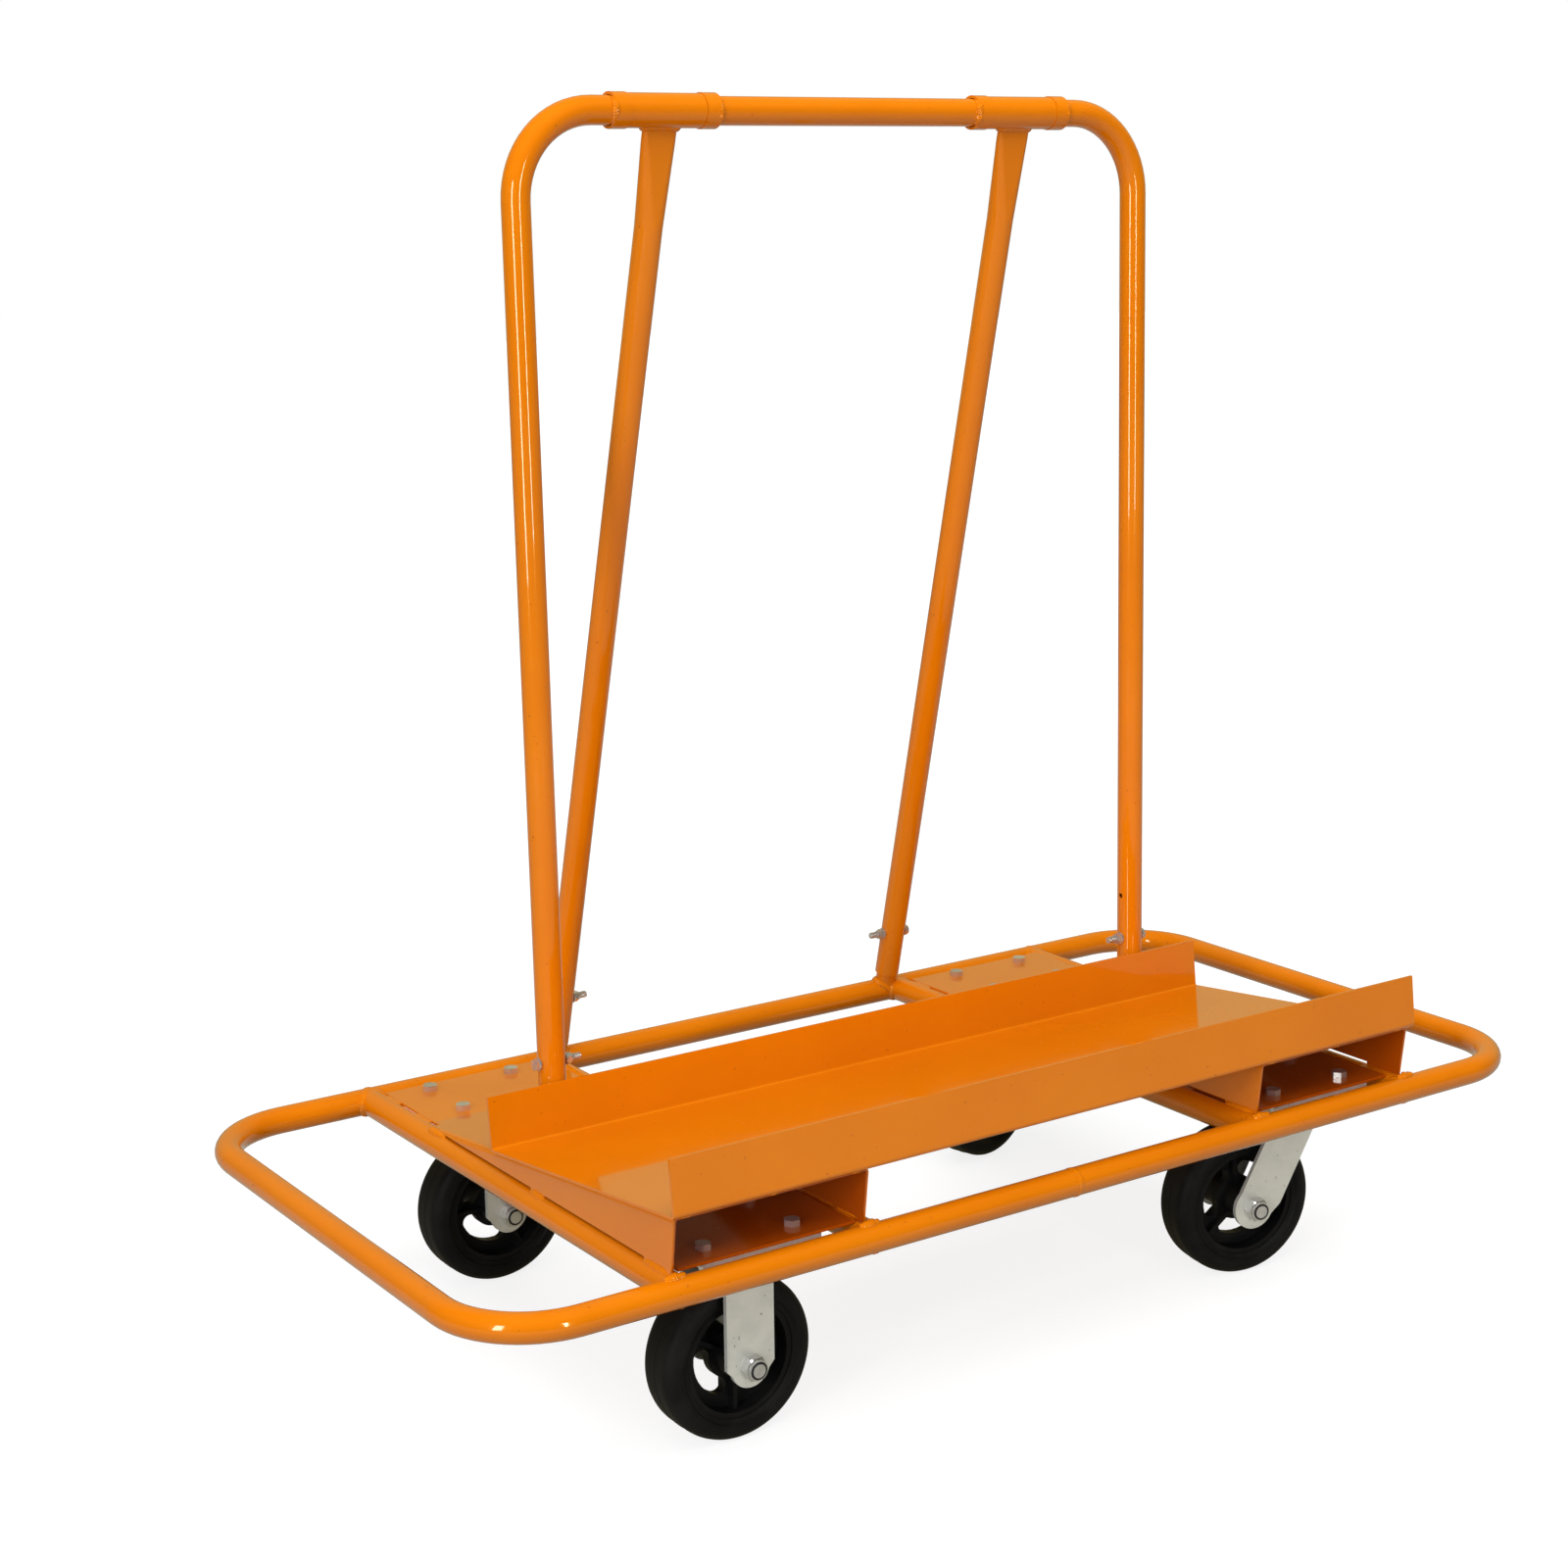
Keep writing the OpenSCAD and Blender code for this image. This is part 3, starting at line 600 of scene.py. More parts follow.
def fit(piece: bpy.types.Object, finish: bpy.types.Material, body: str) -> None:
    """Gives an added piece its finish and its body.

    Args:
        piece: The piece.
        finish: Its material.
        body: Body that it rides on.
    """
    piece.data.materials.append(finish)
    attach(piece, body)
    log.info("fitted %s to %s", piece.name, body)


def circle(count: int) -> Iterator[Span]:
    """Steps once round a circle.

    Args:
        count: Number of equal steps.

    Yields:
        Cosine and sine of each step.
    """
    for at in range(count):
        angle = 2 * math.pi * at / count
        yield math.cos(angle), math.sin(angle)


def turned(name: str, centre: Vector, axis: Vector, profile: Sequence[Span], steps: int = 144) -> bpy.types.Object:
    """Turns a closed profile about an axis.

    Args:
        name: Name of the piece.
        centre: Point on the axis.
        axis: Unit direction of the axis.
        profile: Radius and distance along the axis of each point.
        steps: Number of faces round the ring.

    Returns:
        The ring, linked to the scene.
    """
    side = axis.orthogonal().normalized()
    other = axis.cross(side)
    rings = []
    for cos, sin in circle(steps):
        out = side * cos + other * sin
        rings.append([centre + axis * along + out * radius for radius, along in profile])
    return mesh_piece(name, rings, True)


def meet_bar(start: Vector, way: Vector, radius: float, sign: int) -> Vector:
    """Follows a line to the skin of a bar that runs along X through the origin.

    Args:
        start: Point on the line.
        way: Direction of the line.
        radius: Radius of the bar.
        sign: 1 for the crossing further along the line, -1 for the other.

    Returns:
        The crossing.
    """
    flat, rise = Vector((0, start.y, start.z)), Vector((0, way.y, way.z))
    a, b, c = rise.dot(rise), flat.dot(rise), flat.dot(flat) - radius**2
    return start + way * ((-b + sign * math.sqrt(b * b - a * c)) / a)


def node_points(node: str) -> list[Vector]:
    """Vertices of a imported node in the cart's frame."""
    piece = frame["nodes"][node]
    return [piece.matrix_world @ vertex.co for vertex in piece.data.vertices]


@dataclass
class BeadPath:
    """Corner that a weld bead fills: points with the normals of the two faces that meet there."""

    points: list[Vector]
    first: list[Vector]
    second: list[Vector]
    closed: bool = False

    @classmethod
    def ring(cls, rows: Iterable[tuple[Vector, Vector, Vector]]) -> BeadPath:
        """Closed corner from rows of a point and the normals of its two faces."""
        points, first, second = (list(column) for column in zip(*rows))
        return cls(points, first, second, True)

    def lengths(self) -> list[float]:
        """Measures along the path.

        Returns:
            The running length at each point.
        """
        total, out = 0.0, [0.0]
        for here, after in zip(self.points, self.points[1:]):
            total += (after - here).length
            out.append(total)
        return out


@dataclass
class Welder:
    """Lays rippled weld beads."""

    finish: bpy.types.Material
    body: str = "cart"
    pitch: float = 2.3 * MM
    sink: float = 0.8 * MM
    root: float = 0.6  # share of the half width that is sunk into the corner
    flat_rise: float = 0.3  # share of the rise that is left where the two faces are one
    end_lift: float = 0.06  # how far the ends are on their way to full size
    end_width: float = 0.45  # share of the width at a bead's very end
    ripple: float = 0.36
    crest: float = 1.06  # size at the crest of a ripple
    lag: float = 0.9  # ripples by which a bead's middle runs ahead of its edges
    swell: Span = (0.88, 1.12)  # thinnest and fattest ripple
    around: int = 9
    luck: random.Random = field(default_factory=lambda: random.Random(7))

    def lay(self, name: str, path: BeadPath, width: float, rise: float) -> None:
        """Lays one bead as a closed mesh.

        Args:
            name: Name of the piece.
            path: Corner that the bead follows.
            width: Width of the bead.
            rise: Rise of the bead over the corner of two square faces.
        """
        runs = path.lengths()
        total = runs[-1]
        count = len(path.points)
        phase = self.luck.random()
        swell = [self.luck.uniform(*self.swell) for _ in range(int(total / self.pitch) + 3)]
        rings = []
        for at, point in enumerate(path.points):
            before = path.points[at - 1 if at or path.closed else 0]
            after = path.points[(at + 1) % count if at + 1 < count or path.closed else at]
            normal = (path.first[at] + path.second[at]).normalized()
            along = (after - before).normalized()
            across = along.cross(normal).normalized()
            open_share = 1 - max(0.0, path.first[at].dot(path.second[at]))
            height = rise * (self.flat_rise + (1 - self.flat_rise) * open_share)
            ends = 1.0
            if not path.closed:
                ends = math.sqrt(max(0.0, min(1.0, min(runs[at], total - runs[at]) / width + self.end_lift)))
            rings.append(self._ring(point, normal, across, runs[at], (width, height * ends, ends), (phase, swell)))
        fit(mesh_piece(name, rings, path.closed), self.finish, self.body)

    def _ring(
        self,
        point: Vector,
        normal: Vector,
        across: Vector,
        run: float,
        size: tuple[float, float, float],
        ripple: tuple[float, list[float]],
    ) -> list[Vector]:
        """Points of one cross section of a bead.

        Args:
            point: Point in the corner.
            normal: Direction out of the corner.
            across: Direction over the bead.
            run: Length run so far.
            size: Width, height and end share here.
            ripple: Phase of the ripples and the swell of each.

        Returns:
            The closed cross section.
        """
        width, height, ends = size
        phase, swell = ripple
        half = width / 2 * (self.end_width + (1 - self.end_width) * ends)
        ring = []
        for step in range(self.around):
            angle = math.pi * step / (self.around - 1)
            side, up = -math.cos(angle), math.sin(angle)
            beat = run / self.pitch + phase + self.lag * (1 - side * side)
            drop = 1 - math.sqrt(max(0.0, 1 - (beat - math.floor(beat))))
            bulge = swell[int(beat) % len(swell)] * (self.crest - self.ripple * drop)
            ring.append(point + across * (side * half * bulge) + normal * (up * height * bulge))
        ring.append(point + across * (half * self.root) - normal * self.sink)
        ring.append(point - across * (half * self.root) - normal * self.sink)
        return ring


def straight(
    start: Vector, end: Vector, first: Vector, second: Vector, step: float = 0.45 * MM, fewest: int = 6
) -> BeadPath:
    """Straight corner between two faces.

    Args:
        start: First point.
        end: Last point.
        first: Normal of one face.
        second: Normal of the other face.
        step: Distance between points.
        fewest: Fewest steps on a short path.

    Returns:
        The path for a bead.
    """
    count = max(fewest, int((end - start).length / step))
    points = [start.lerp(end, at / count) for at in range(count + 1)]
    return BeadPath(points, [first.normalized()] * (count + 1), [second.normalized()] * (count + 1))


@dataclass
class Welded:
    """What every welded sub-assembly is made with."""

    sizes: Measures
    finishes: Finishes
    welder: Welder


@dataclass
class BaseFrame(Welded):
    """Loop, cross tubes, supports and seats with their welds."""

    bead: float = 8.5 * MM
    rise: float = 3.3 * MM
    slim: float = 0.9  # share of the bead in the flange stitches
    fat: float = 1.1  # share of the bead in the corner and seat welds
    corner_reach: float = 10 * MM
    corner_out: float = 0.125  # share of the bead by which the corner welds stand forward
    flange_back: float = 11.8 * MM
    feet: tuple[Span, ...] = ((0.0, 0.074), (0.451, 0.506), (0.89, 0.975))
    seat_stitch: float = 30 * MM
    seat_inset: float = 5 * MM
    seat_out: float = 2.4 * MM
    seat_sink: float = 0.9 * MM
    seam_at: float = -4 * MM
    seam_shares: Span = (0.7, 0.45)  # of the bead's width and of its rise
    ring_steps: int = 190

    def build(self) -> None:
        """Dresses the nodes and lays every weld of the base."""
        paint = self.finishes.shared(Slot.PAINT)
        # the front seats lie in the shade under the supports, so their whole enamel is the painted shade colour
        thin = Enamel(Enamel.thin, Enamel.thin).make("thin_enamel")
        self.finishes.dress_node("base_loop", paint)
        for side in Side:
            self.finishes.dress_node(f"outer_{side.word}_tube", paint)
            self.finishes.dress_node(f"inner_{side.word}_tube", paint)
            self.finishes.dress_node(f"{side.word}_front_seat", thin)
            self.finishes.dress_node(f"{side.word}_support", self._support_paint(side))
        for side in Side:
            for place in ("outer", "inner"):
                self._saddles(f"{place}_{side.word}_tube")
            self._feet(side)
            self._front_corners(side)
            self._seats(side)
        self._closing_seam()

    def _support_paint(self, side: Side) -> bpy.types.Material:
        """Makes the enamel of a support, with painted shade inside its box.

        Args:
            side: Half of the cart.

        Returns:
            The finished material.
        """
        low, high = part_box(f"{side.word}_support")
        shadow = SprayShadow(low.x, high.x, self.sizes.slope_front, self.sizes.slope_normal)
        return Enamel(shadow=shadow).make(f"{side.word}_support_enamel")

    def _saddles(self, node: str) -> None:
        """Welds both coped ends of a cross tube to the rails.

        Args:
            node: Name of the cross tube.
        """
        low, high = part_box(node)
        middle = (low.x + high.x) / 2
        radius = self.sizes.tube_r
        for end in End:
            rows = []
            for cos, sin in circle(self.ring_steps):
                y = end.value * (self.sizes.rail_y - radius * abs(cos))
                point = Vector((middle + radius * cos, y, self.sizes.rail_z + radius * sin))
                rows.append((point, Vector((cos, 0, sin)), Vector((0, -end.value * abs(cos), sin))))
            self.welder.lay(f"{node}_{end.word}_weld", BeadPath.ring(rows), self.bead, self.rise)

    def _feet(self, side: Side) -> None:
        """Stitches the flanges of a support to the cross tubes.

        Args:
            side: Half of the cart.
        """
        low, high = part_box(f"{side.word}_support")
        start = self.sizes.fold_y - self.flange_back
        run = start - self.sizes.front_y
        outer, inner = (high.x, low.x) if side is Side.RIGHT else (low.x, high.x)
        for place, face, out in (("outer", outer, side.value), ("inner", inner, -side.value)):
            tube_low, tube_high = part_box(f"{place}_{side.word}_tube")
            offset = face - (tube_low.x + tube_high.x) / 2
            z = self.sizes.tube_top(offset)
            skin = Vector((offset / self.sizes.tube_r, 0, (z - self.sizes.rail_z) / self.sizes.tube_r))
            for number, (begin, finish) in enumerate(self.feet):
                path = straight(Vector((face, start - run * begin, z)), Vector((face, start - run * finish, z)),
                                X * out, skin)
                self.welder.lay(f"{side.word}_{place}_stitch_{number}", path, self.bead * self.slim, self.rise)

    def _front_corners(self, side: Side) -> None:
        """Lays the short fat welds between the front edges of a support's flanges and the front rail.

        Args:
            side: Half of the cart.
        """
        low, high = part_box(f"{side.word}_support")
        y = self.sizes.front_y - self.bead * self.corner_out
        z = self.sizes.tube_top(y + self.sizes.rail_y)
        for place, x in (("a", low.x), ("b", high.x)):
            start, finish = Vector((x - self.corner_reach, y, z)), Vector((x + self.corner_reach, y, z))
            path = straight(start, finish, -Y, Z)
            self.welder.lay(f"{side.word}_corner_weld_{place}", path, self.bead * self.fat, self.rise * self.fat)

    def _seats(self, side: Side) -> None:
        """Stitches the flat seats to the tubes beside them.

        Args:
            side: Half of the cart.
        """
        low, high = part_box(f"{side.word}_front_seat")
        rear_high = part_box(f"{side.word}_support")[1].y
        z = self.sizes.seat_top - self.seat_sink
        for row, near, far in (("front", low.y, high.y), ("rear", self.sizes.fold_y, rear_high)):
            starts = (near + self.seat_inset, far - self.seat_inset - self.seat_stitch)
            for edge, x in (("a", low.x - self.seat_out), ("b", high.x + self.seat_out)):
                for number, begin in enumerate(starts):
                    path = straight(Vector((x, begin, z)), Vector((x, begin + self.seat_stitch, z)), Z, Z)
                    name = f"{side.word}_{row}_seat_weld_{edge}{number}"
                    self.welder.lay(name, path, self.bead * self.fat, self.rise)

    def _closing_seam(self) -> None:
        """Lays the low ring where the loop's two ends meet in the front rail."""
        middle = Vector((self.seam_at, -self.sizes.rail_y, self.sizes.rail_z))
        skins = [Vector((0, cos, sin)) for cos, sin in circle(self.ring_steps)]
        path = BeadPath.ring((middle + skin * self.sizes.tube_r, skin, skin) for skin in skins)
        width, rise = self.seam_shares
        self.welder.lay("loop_closing_weld", path, self.bead * width, self.rise * rise)


@dataclass
class LoadTray(Welded):
    """Folded tray and the tacks that hold it on the supports."""

    tack: float = 14 * MM
    tack_size: Span = (5.5 * MM, 2.6 * MM)
    shares: tuple[float, ...] = (0.06, 0.5, 0.93)

    def build(self) -> None:
        """Dresses the tray and lays its tacks."""
        self.finishes.dress_node("load_tray", self.finishes.shared(Slot.PAINT))
        for side in Side:
            low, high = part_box(f"{side.word}_support")
            for number, share in enumerate(self.shares):
                x = low.x + (high.x - low.x) * share
                start = self.sizes.slope_front + X * (x - self.tack / 2)
                path = straight(start, start + X * self.tack, -Y, -self.sizes.slope_normal)
                self.welder.lay(f"{side.word}_tray_tack_{number}", path, *self.tack_size)


@dataclass
class Uprights(Welded):
    """Hoop, braces, stubs, sleeves and collars with their welds."""

    ring_steps: int = 170
    tack_steps: int = 60
    tack_turn: float = math.radians(58)
    flat_half: float = 17.5 * MM
    flat_thick: float = 6.5 * MM
    flat_sharp: float = 3.2  # how soon the flat top's outline turns from its sides into its ends
    stub_weld: Span = (7 * MM, 2.6 * MM)
    brace_weld: Span = (7.5 * MM, 3 * MM)
    sleeve_weld: Span = (8 * MM, 3 * MM)
    collar_weld: Span = (8 * MM, 3.2 * MM)

    def build(self) -> None:
        """Dresses the upright pieces and lays their welds."""
        paint = self.finishes.shared(Slot.PAINT)
        for node in ("hoop", "stop_collars"):
            self.finishes.dress_node(node, paint)
        for side in Side:
            for piece in ("hoop_stub", "brace_stub", "brace", "sleeve"):
                self.finishes.dress_node(f"{side.word}_{piece}", paint)
            self._hoop_stub(side)
            self._brace_stub(side)
            self._sleeve(side)
            self._collars(side)

    def _hoop_stub(self, side: Side) -> None:
        """Welds a hoop stub to the slope that it stands on.

        Args:
            side: Half of the cart.
        """
        low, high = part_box(f"{side.word}_hoop_stub")
        radius = (high.x - low.x) / 2
        middle = Vector(((low.x + high.x) / 2, low.y + radius, 0))
        rows = []
        for cos, sin in circle(self.ring_steps):
            out = Vector((cos, sin, 0))
            point = middle + out * radius
            point.z = self.sizes.slope_z(point.y)
            rows.append((point, out, self.sizes.slope_normal))
        self.welder.lay(f"{side.word}_hoop_stub_weld", BeadPath.ring(rows), *self.stub_weld)

    def _brace_line(self, side: Side) -> tuple[Vector, Vector]:
        """Foot and direction of a brace.

        Args:
            side: Half of the cart.

        Returns:
            The foot in the middle of the back rail, and the unit direction up the brace.
        """
        low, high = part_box(f"{side.word}_brace_stub")
        foot = Vector(((low.x + high.x) / 2, self.sizes.rail_y, self.sizes.rail_z))
        return foot, (box_middle(f"{side.word}_sleeve") - foot).normalized()

    def _brace_stub(self, side: Side) -> None:
        """Welds a brace stub to the back rail.

        Args:
            side: Half of the cart.
        """
        low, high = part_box(f"{side.word}_brace_stub")
        radius = (high.x - low.x) / 2
        foot, up = self._brace_line(side)
        wide = Y.cross(up).normalized()
        deep = up.cross(wide)
        rows = []
        for cos, sin in circle(self.ring_steps):
            out = wide * cos + deep * sin
            arm = meet_bar(out * radius, up, self.sizes.tube_r, 1)
            rows.append((foot + arm, out, Vector((0, arm.y, arm.z)).normalized()))
        self.welder.lay(f"{side.word}_brace_stub_weld", BeadPath.ring(rows), *self.brace_weld)

    def _sleeve(self, side: Side) -> None:
        """Welds the flat top of a brace to its sleeve.

        Args:
            side: Half of the cart.
        """
        low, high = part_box(f"{side.word}_sleeve")
        middle = (low + high) / 2
        radius = (high.z - low.z) / 2
        up = self._brace_line(side)[1]
        wide = (X - up * X.dot(up)).normalized()
        deep = up.cross(wide)
        straight_half = self.flat_half - self.flat_thick / 2
        rows = []
        for cos, sin in circle(self.ring_steps):
            out = wide * cos + deep * sin
            reach = straight_half * max(-1.0, min(1.0, self.flat_sharp * cos))
            arm = meet_bar(wide * reach + out * (self.flat_thick / 2), up, radius, -1)
            rows.append((middle + arm, out, Vector((0, arm.y, arm.z)).normalized()))
        self.welder.lay(f"{side.word}_sleeve_weld", BeadPath.ring(rows), *self.sleeve_weld)

    def _collars(self, side: Side) -> None:
        """Tacks the two stop collars beside a sleeve to the front of the top bar.

        Args:
            side: Half of the cart.
        """
        edges = [point.x for point in node_points("stop_collars") if point.x * side.value > 0]
        for place, x, out in (("a", min(edges), -X), ("b", max(edges), X)):
            middle = Vector((x, self.sizes.bar.y, self.sizes.bar.z))
            angles = [self.tack_turn * (2 * at / self.tack_steps - 1) for at in range(self.tack_steps + 1)]
            skins = [Vector((0, -math.cos(angle), math.sin(angle))) for angle in angles]
            points = [middle + skin * self.sizes.tube_r for skin in skins]
            path = BeadPath(points, [out] * len(points), skins)
            self.welder.lay(f"{side.word}_collar_tack_{place}", path, *self.collar_weld)


@dataclass
class Fasteners:
    """Bolts, nuts and washers of the frame and the casters."""

    finishes: Finishes
    pitch: float = 1.0 * MM
    bolt_r: float = 3.0 * MM
    ridge: float = 0.35 * MM
    bite: float = 0.2 * MM
    root_half: float = 0.5  # shares of the pitch, at the foot and the top of the ridge
    crest_half: float = 0.1
    lead_in: float = 0.5  # turns from the bolt's end to the start of its thread
    tail: float = 8.6 * MM
    slack: float = 0.5 * MM
    turn_steps: int = 24

    def build(self) -> None:
        """Dresses every fastener and cuts the threads that show past the frame nuts."""
        for node in ("frame_bolts", "frame_washers", "frame_nuts", "caster_bolts", "caster_nuts"):
            self.finishes.dress_node(node, self.finishes.bolt_zinc)
        points = node_points("frame_bolts")
        middle = (min(point.y for point in points) + max(point.y for point in points)) / 2
        for side in Side:
            half = [point for point in points if point.x * side.value > 0]
            self._thread(f"{side.word}_hoop_thread", [point for point in half if point.y < middle])
            self._thread(f"{side.word}_brace_thread", [point for point in half if point.y > middle])

    def _thread(self, name: str, points: Sequence[Vector]) -> None:
        """Winds the ridge of a thread round the tail of one bolt.

        Args:
            name: Name of the piece.
            points: Vertices of the bolt.
        """
        near, far = min(abs(point.x) for point in points), max(abs(point.x) for point in points)
        tip = self._middle([point for point in points if abs(point.x) < near + self.slack])
        head = self._middle([point for point in points if abs(point.x) > far - self.slack])
        axis = (head - tip).normalized()
        side = axis.orthogonal().normalized()
        other = axis.cross(side)
        root, crest = self.pitch * self.root_half, self.pitch * self.crest_half
        section = ((-self.bite, -root), (self.ridge, -crest), (self.ridge, crest), (-self.bite, root))
        rings = []
        for at in range(int(self.tail / self.pitch * self.turn_steps)):
            turn = at / self.turn_steps
            angle = 2 * math.pi * turn
            out = side * math.cos(angle) + other * math.sin(angle)
            start = tip + axis * (self.pitch * (turn + self.lead_in))
            rings.append([start + out * (self.bolt_r + rise) + axis * along for rise, along in section])
        fit(mesh_piece(name, rings, False), self.finishes.bolt_zinc, "cart")

    @staticmethod
    def _middle(points: Sequence[Vector]) -> Vector:
        """Mean of some points."""
        return sum(points, Vector()) / len(points)


@dataclass
class Casters:
    """Forks, plates, axles and wheels."""

    finishes: Finishes
    rubber: Colour = (0.006, 0.006, 0.0061)
    rubber_dust: Colour = (0.018, 0.0175, 0.016)
    iron: Colour = (0.006, 0.006, 0.0063)
    iron_dust: Colour = (0.022, 0.021, 0.020)
    ridge: float = 0.3 * MM
    ridge_wide: float = 0.9 * MM
    ridge_shares: tuple[float, ...] = (0.812, 0.834)
    ring_r: Span = (6.15 * MM, 7.9 * MM)
    ring_proud: float = 0.35 * MM
    nut_reach: float = 80 * MM

    def build(self) -> None:
        """Dresses the casters and their wheels."""
        plates = ["front_left_fork", "rear_left_fork"]
        bolts = ["rigid_axles", "rigid_axle_nuts", "rigid_axle_sleeves"]
        for end in End:
            plates += [f"{end.word}_swivel_plate", f"{end.word}_right_fork"]
            bolts += [f"{end.word}_kingpin", f"{end.word}_balls"]
            bolts += [f"{end.word}_right_{piece}" for piece in ("axle", "axle_nut", "axle_sleeve")]
        for node in plates:
            self.finishes.dress_node(node, self.finishes.shared(Slot.ZINC))
        for node in bolts:
            self.finishes.dress_node(node, self.finishes.bright_zinc)
        for joint in frame["joints"]:
            if joint["name"].endswith("_spin"):
                self._wheel(joint)

    def _wheel(self, joint: Mapping[str, object]) -> None:
        """Dresses one wheel about its own axle.

        Args:
            joint: The record's joint that the wheel turns on.
        """
        wheel = str(joint["name"]).removesuffix("_spin")
        centre, axle = Vector(joint["pos_m"]), Vector(joint["axis"])
        tyre = WheelFinish(centre, axle, self.rubber, self.rubber_dust, dusty=0.5, rough=0.46,
                           ring_scale=900.0, ring_depth=0.06 * MM)
        core = WheelFinish(centre, axle, self.iron, self.iron_dust, dusty=0.35, rough=0.40,
                           ring_scale=300.0, ring_depth=0.12 * MM)
        rubber = tyre.make(f"{wheel}_rubber")
        self.finishes.dress_node(f"{wheel}_tyre", rubber)
        self.finishes.dress_node(f"{wheel}_core", core.make(f"{wheel}_black"))
        self.finishes.dress_node(f"{wheel}_bush", self.finishes.shared(Slot.BUSH))
        self._ridges(wheel, centre, axle, rubber)
        self._nut_ring(wheel, centre, axle, str(joint["parent"]))

    def _ridges(self, wheel: str, centre: Vector, axle: Vector, rubber: bpy.types.Material) -> None:
        """Adds the mould's parting line on the tread and the ridges on both sides of a tyre.

        Args:
            wheel: Name of the wheel.
            centre: Middle of the wheel.
            axle: Direction of its axle.
            rubber: Finish of the tyre.
        """
        arms = [point - centre for point in node_points(f"{wheel}_tyre")]
        half = max(arm.dot(axle) for arm in arms)
        radius = max((arm - axle * arm.dot(axle)).length for arm in arms)
        low, wide = self.ridge, self.ridge_wide
        profiles = {"parting": [(radius - low, -wide), (radius + low, 0.0), (radius - low, wide)]}
        for side in Side:
            for number, share in enumerate(self.ridge_shares):
                at, foot, crest = radius * share, side.value * (half - low), side.value * (half + low)
                profiles[f"{side.word}_{number}"] = [(at - wide, foot), (at, crest), (at + wide, foot)]
        for place, profile in profiles.items():
            fit(turned(f"{wheel}_{place}_ridge", centre, axle, profile), rubber, wheel + "_wheel")

    def _nut_ring(self, wheel: str, centre: Vector, axle: Vector, body: str) -> None:
        """Puts the dark locking ring into the end of an axle nut.

        Args:
            wheel: Name of the wheel.
            centre: Middle of the wheel.
            axle: Direction of its axle.
            body: Body that carries the axle.
        """
        node = "rigid_axle_nuts" if body == "cart" else f"{wheel}_axle_nut"
        arms = [point - centre for point in node_points(node)]
        end = min(arm.dot(axle) for arm in arms if arm.length < self.nut_reach)
        inner, outer = self.ring_r
        profile = [(inner, end - self.ring_proud), (outer, end - self.ring_proud), (outer, end + self.ring_proud),
                   (inner, end + self.ring_proud)]
        fit(turned(f"{wheel}_lock_ring", centre, axle, profile), self.finishes.lock_ring, body)


@dataclass(frozen=True)
class Lamp:
    """One soft box of the studio."""

    name: str
    place: Vector
    target: Vector
    size: Span
    power: float
    mirrored: bool = True


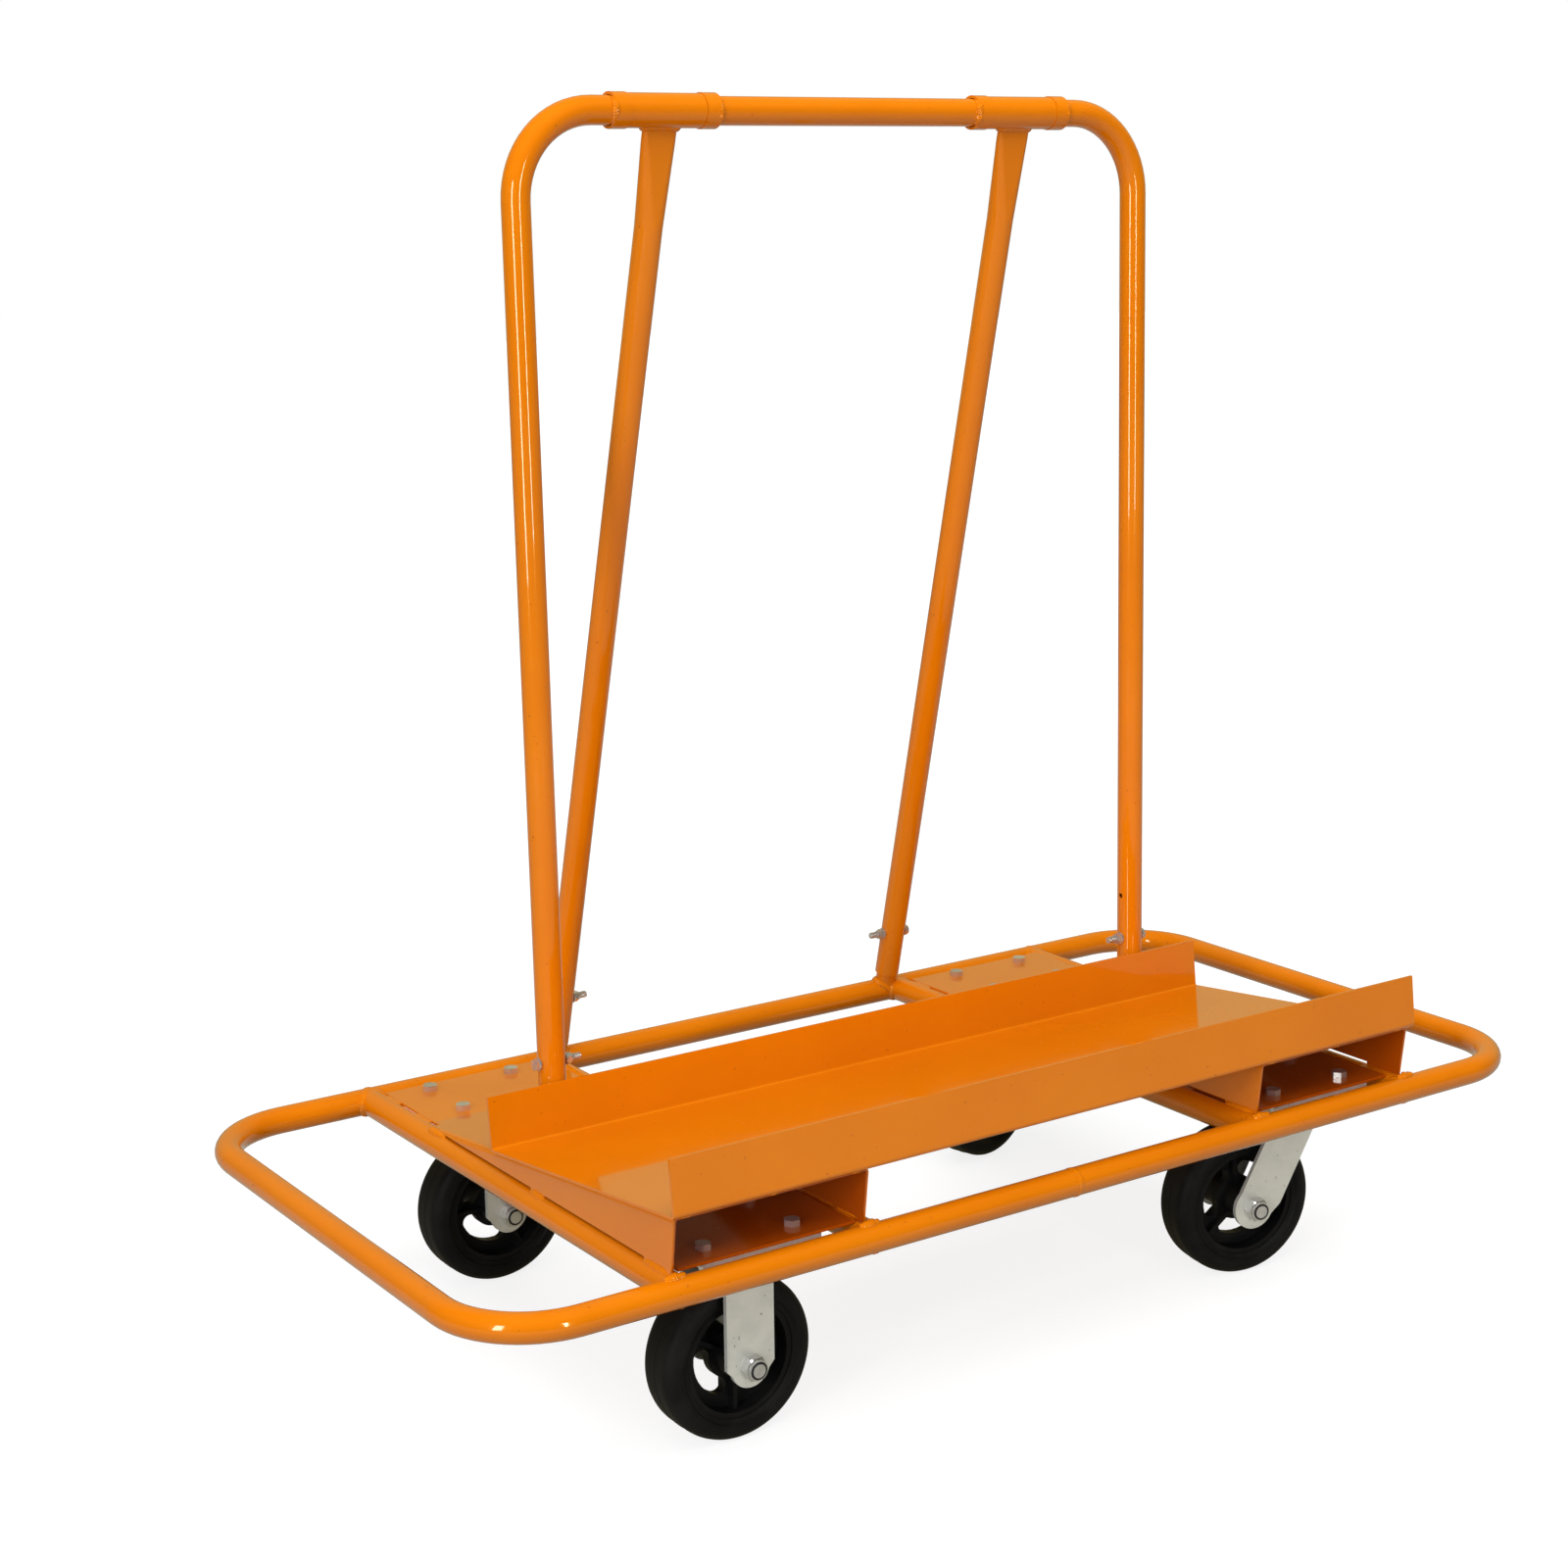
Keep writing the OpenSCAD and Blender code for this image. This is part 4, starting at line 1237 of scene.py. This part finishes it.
@dataclass
class Studio:
    """Camera, floor, world and lamps."""

    lens_px: float = 2713.0
    photo_px: float = 1600.0
    sensor_mm: float = 36.0
    sight: float = 100.0
    camera_place: Vector = field(default_factory=lambda: Vector((-1.4479, -1.9653, 1.0284)))
    azimuth: float = -34.175
    elevation: float = 12.583
    roll: float = -0.724
    ambient: float = 0.07
    left_fill: float = 1.2
    left_way: Vector = field(default_factory=lambda: Vector((-0.94, -0.33, 0.1)))
    left_edge: Span = (0.3, 0.95)
    dim: float = 0.11
    bright: float = 0.41
    bright_edge: Span = (0.1, 0.75)
    gloss_colour: Colour = (1.0, 0.86, 0.38)
    floor_size: float = 30.0
    floor_fade: Span = (0.7, 2.2)
    floor_colour: Colour = (0.28, 0.28, 0.28)
    floor_shown: Colour = (0.9, 0.9, 0.9)
    floor_white: float = 1.15
    floor_glow: float = 0.72
    floor_mirrored: float = 0.15
    lamps: tuple[Lamp, ...] = (
        Lamp("key_strip", Vector((-2.82, -1.50, 1.13)), Vector((0, 0, 0.6)), (0.42, 1.6), 28.0),
        Lamp("front_strip", Vector((-0.24, -3.4, 1.16)), Vector((0, 0, 0.6)), (0.24, 1.55), 22.0),
        Lamp("top_box", Vector((0.0, -0.9, 3.4)), Vector((0, -0.1, 0.3)), (4.0, 3.2), 122.0, False),
        Lamp("back_box", Vector((1.75, 2.4, 0.95)), Vector((0, 0, 0.6)), (2.2, 1.6), 30.0, False),
    )

    def build(self) -> None:
        """Makes the whole studio."""
        scene = bpy.context.scene
        scene.view_settings.view_transform = "Standard"
        self._camera(scene)
        self._world(scene)
        self._floor(scene)
        for lamp in self.lamps:
            self._lamp(scene, lamp)

    def _camera(self, scene: bpy.types.Scene) -> None:
        """Stands the camera where the photograph was taken from.

        Args:
            scene: The scene to set it in.
        """
        turn, rise, roll = (math.radians(angle) for angle in (self.azimuth, self.elevation, self.roll))
        back = Vector((math.sin(turn) * math.cos(rise), -math.cos(turn) * math.cos(rise), math.sin(rise)))
        right = Z.cross(back).normalized()
        up = back.cross(right)
        rolled_right = right * math.cos(roll) + up * math.sin(roll)
        rolled_up = up * math.cos(roll) - right * math.sin(roll)
        data = bpy.data.cameras.new("photo_camera")
        data.sensor_width = self.sensor_mm
        data.lens = self.lens_px * self.sensor_mm / self.photo_px
        data.clip_end = self.sight
        camera = bpy.data.objects.new("photo_camera", data)
        columns = Matrix((rolled_right, rolled_up, back)).transposed().to_4x4()
        camera.matrix_world = Matrix.Translation(self.camera_place) @ columns
        scene.collection.objects.link(camera)
        scene.camera = camera

    def _world(self, scene: bpy.types.Scene) -> None:
        """Lights the room softly, much more from the left, and shows it white to the camera and as a dim warm
        backdrop, brighter ahead, in gloss.

        Args:
            scene: The scene to set it in.
        """
        world = bpy.data.worlds.new("studio_world")
        scene.world = world
        tree = Tree(world)
        camera, gloss = self._seen(tree)
        way = tree.node("ShaderNodeTexCoord", out="Generated")
        shine = self.dim + tree.dot(way, self._ahead()).between(*self.bright_edge) * (self.bright - self.dim)
        soft = self.ambient + tree.dot(way, self.left_way).between(*self.left_edge) * self.left_fill
        level = camera + (1 - camera) * (gloss * shine + (1 - gloss) * soft)
        colour = tree.mix(gloss * (1 - camera), WHITE, self.gloss_colour)
        light = tree.node("ShaderNodeBackground", inputs={"Color": colour, "Strength": level})
        tree.end(light, "ShaderNodeOutputWorld")

    def _ahead(self) -> Vector:
        """Level direction in which the camera looks, where the backdrop hangs."""
        turn = math.radians(self.azimuth)
        return Vector((-math.sin(turn), math.cos(turn), 0))

    @staticmethod
    def _seen(tree: Tree) -> tuple[Wire, Wire]:
        """Tells apart how a ray reaches the background.

        Args:
            tree: The tree to add to.

        Returns:
            The share of camera rays, and of rays that show the background in gloss or through glass.
        """
        outputs = ("Is Camera Ray", "Is Glossy Ray", "Is Transmission Ray")
        camera, gloss, glass = (tree.node("ShaderNodeLightPath", out=name) for name in outputs)
        return camera, (gloss + glass).between(0.0, 1.0)

    def _floor(self, scene: bpy.types.Scene) -> None:
        """Lays a pale floor that keeps the shadow near the cart and turns white far from it.

        Args:
            scene: The scene to set it in.
        """
        mesh = bpy.data.meshes.new("floor")
        half = self.floor_size / 2
        corners = [(-half, -half, 0), (half, -half, 0), (half, half, 0), (-half, half, 0)]
        mesh.from_pydata(corners, [], [(0, 1, 2, 3)])
        floor = bpy.data.objects.new("floor", mesh)
        scene.collection.objects.link(floor)
        material = bpy.data.materials.new("pale_floor")
        tree = Tree(material)
        place = tree.place()
        camera, gloss = self._seen(tree)
        gloss = gloss * (1 - camera)
        far = tree.vector("LENGTH", place, place, 1).between(*self.floor_fade)
        bounce, shown = (
            tree.node("ShaderNodeBsdfDiffuse", inputs={"Color": _rgba(colour)})
            for colour in (self.floor_colour, self.floor_shown)
        )
        paper = tree.node("ShaderNodeMixShader", inputs={0: camera, 1: bounce, 2: shown})
        tone = tree.mix(gloss, WHITE, self.gloss_colour)
        white = tree.node("ShaderNodeEmission", inputs={"Color": tone, "Strength": self.floor_white})
        lit = camera * (self.floor_glow + far * (1 - self.floor_glow)) + gloss * self.floor_mirrored
        tree.end(tree.node("ShaderNodeMixShader", inputs={0: lit, 1: paper, 2: white}))
        mesh.materials.append(material)

    def _lamp(self, scene: bpy.types.Scene, lamp: Lamp) -> None:
        """Hangs one soft box.

        Args:
            scene: The scene to set it in.
            lamp: Its place, target, size and power.
        """
        data = bpy.data.lights.new(lamp.name, "AREA")
        data.shape = "RECTANGLE"
        data.size, data.size_y = lamp.size
        data.energy = lamp.power
        light = bpy.data.objects.new(lamp.name, data)
        light.location = lamp.place
        light.visible_glossy = lamp.mirrored
        light.rotation_mode = "QUATERNION"
        light.rotation_quaternion = (lamp.target - lamp.place).to_track_quat("-Z", "Y")
        scene.collection.objects.link(light)


def main() -> None:
    """Builds the sub-assemblies in order, then the studio."""
    logging.basicConfig(level=logging.INFO, format="%(name)s: %(message)s")
    sizes = Measures.from_frame()
    finishes = Finishes()
    welder = Welder(finishes.shared(Slot.PAINT))
    for assembly in (
        BaseFrame(sizes, finishes, welder),
        LoadTray(sizes, finishes, welder),
        Uprights(sizes, finishes, welder),
        Fasteners(finishes),
        Casters(finishes),
        Studio(),
    ):
        assembly.build()
        log.info("built %s", type(assembly).__name__)


if __name__ == "__main__":
    main()
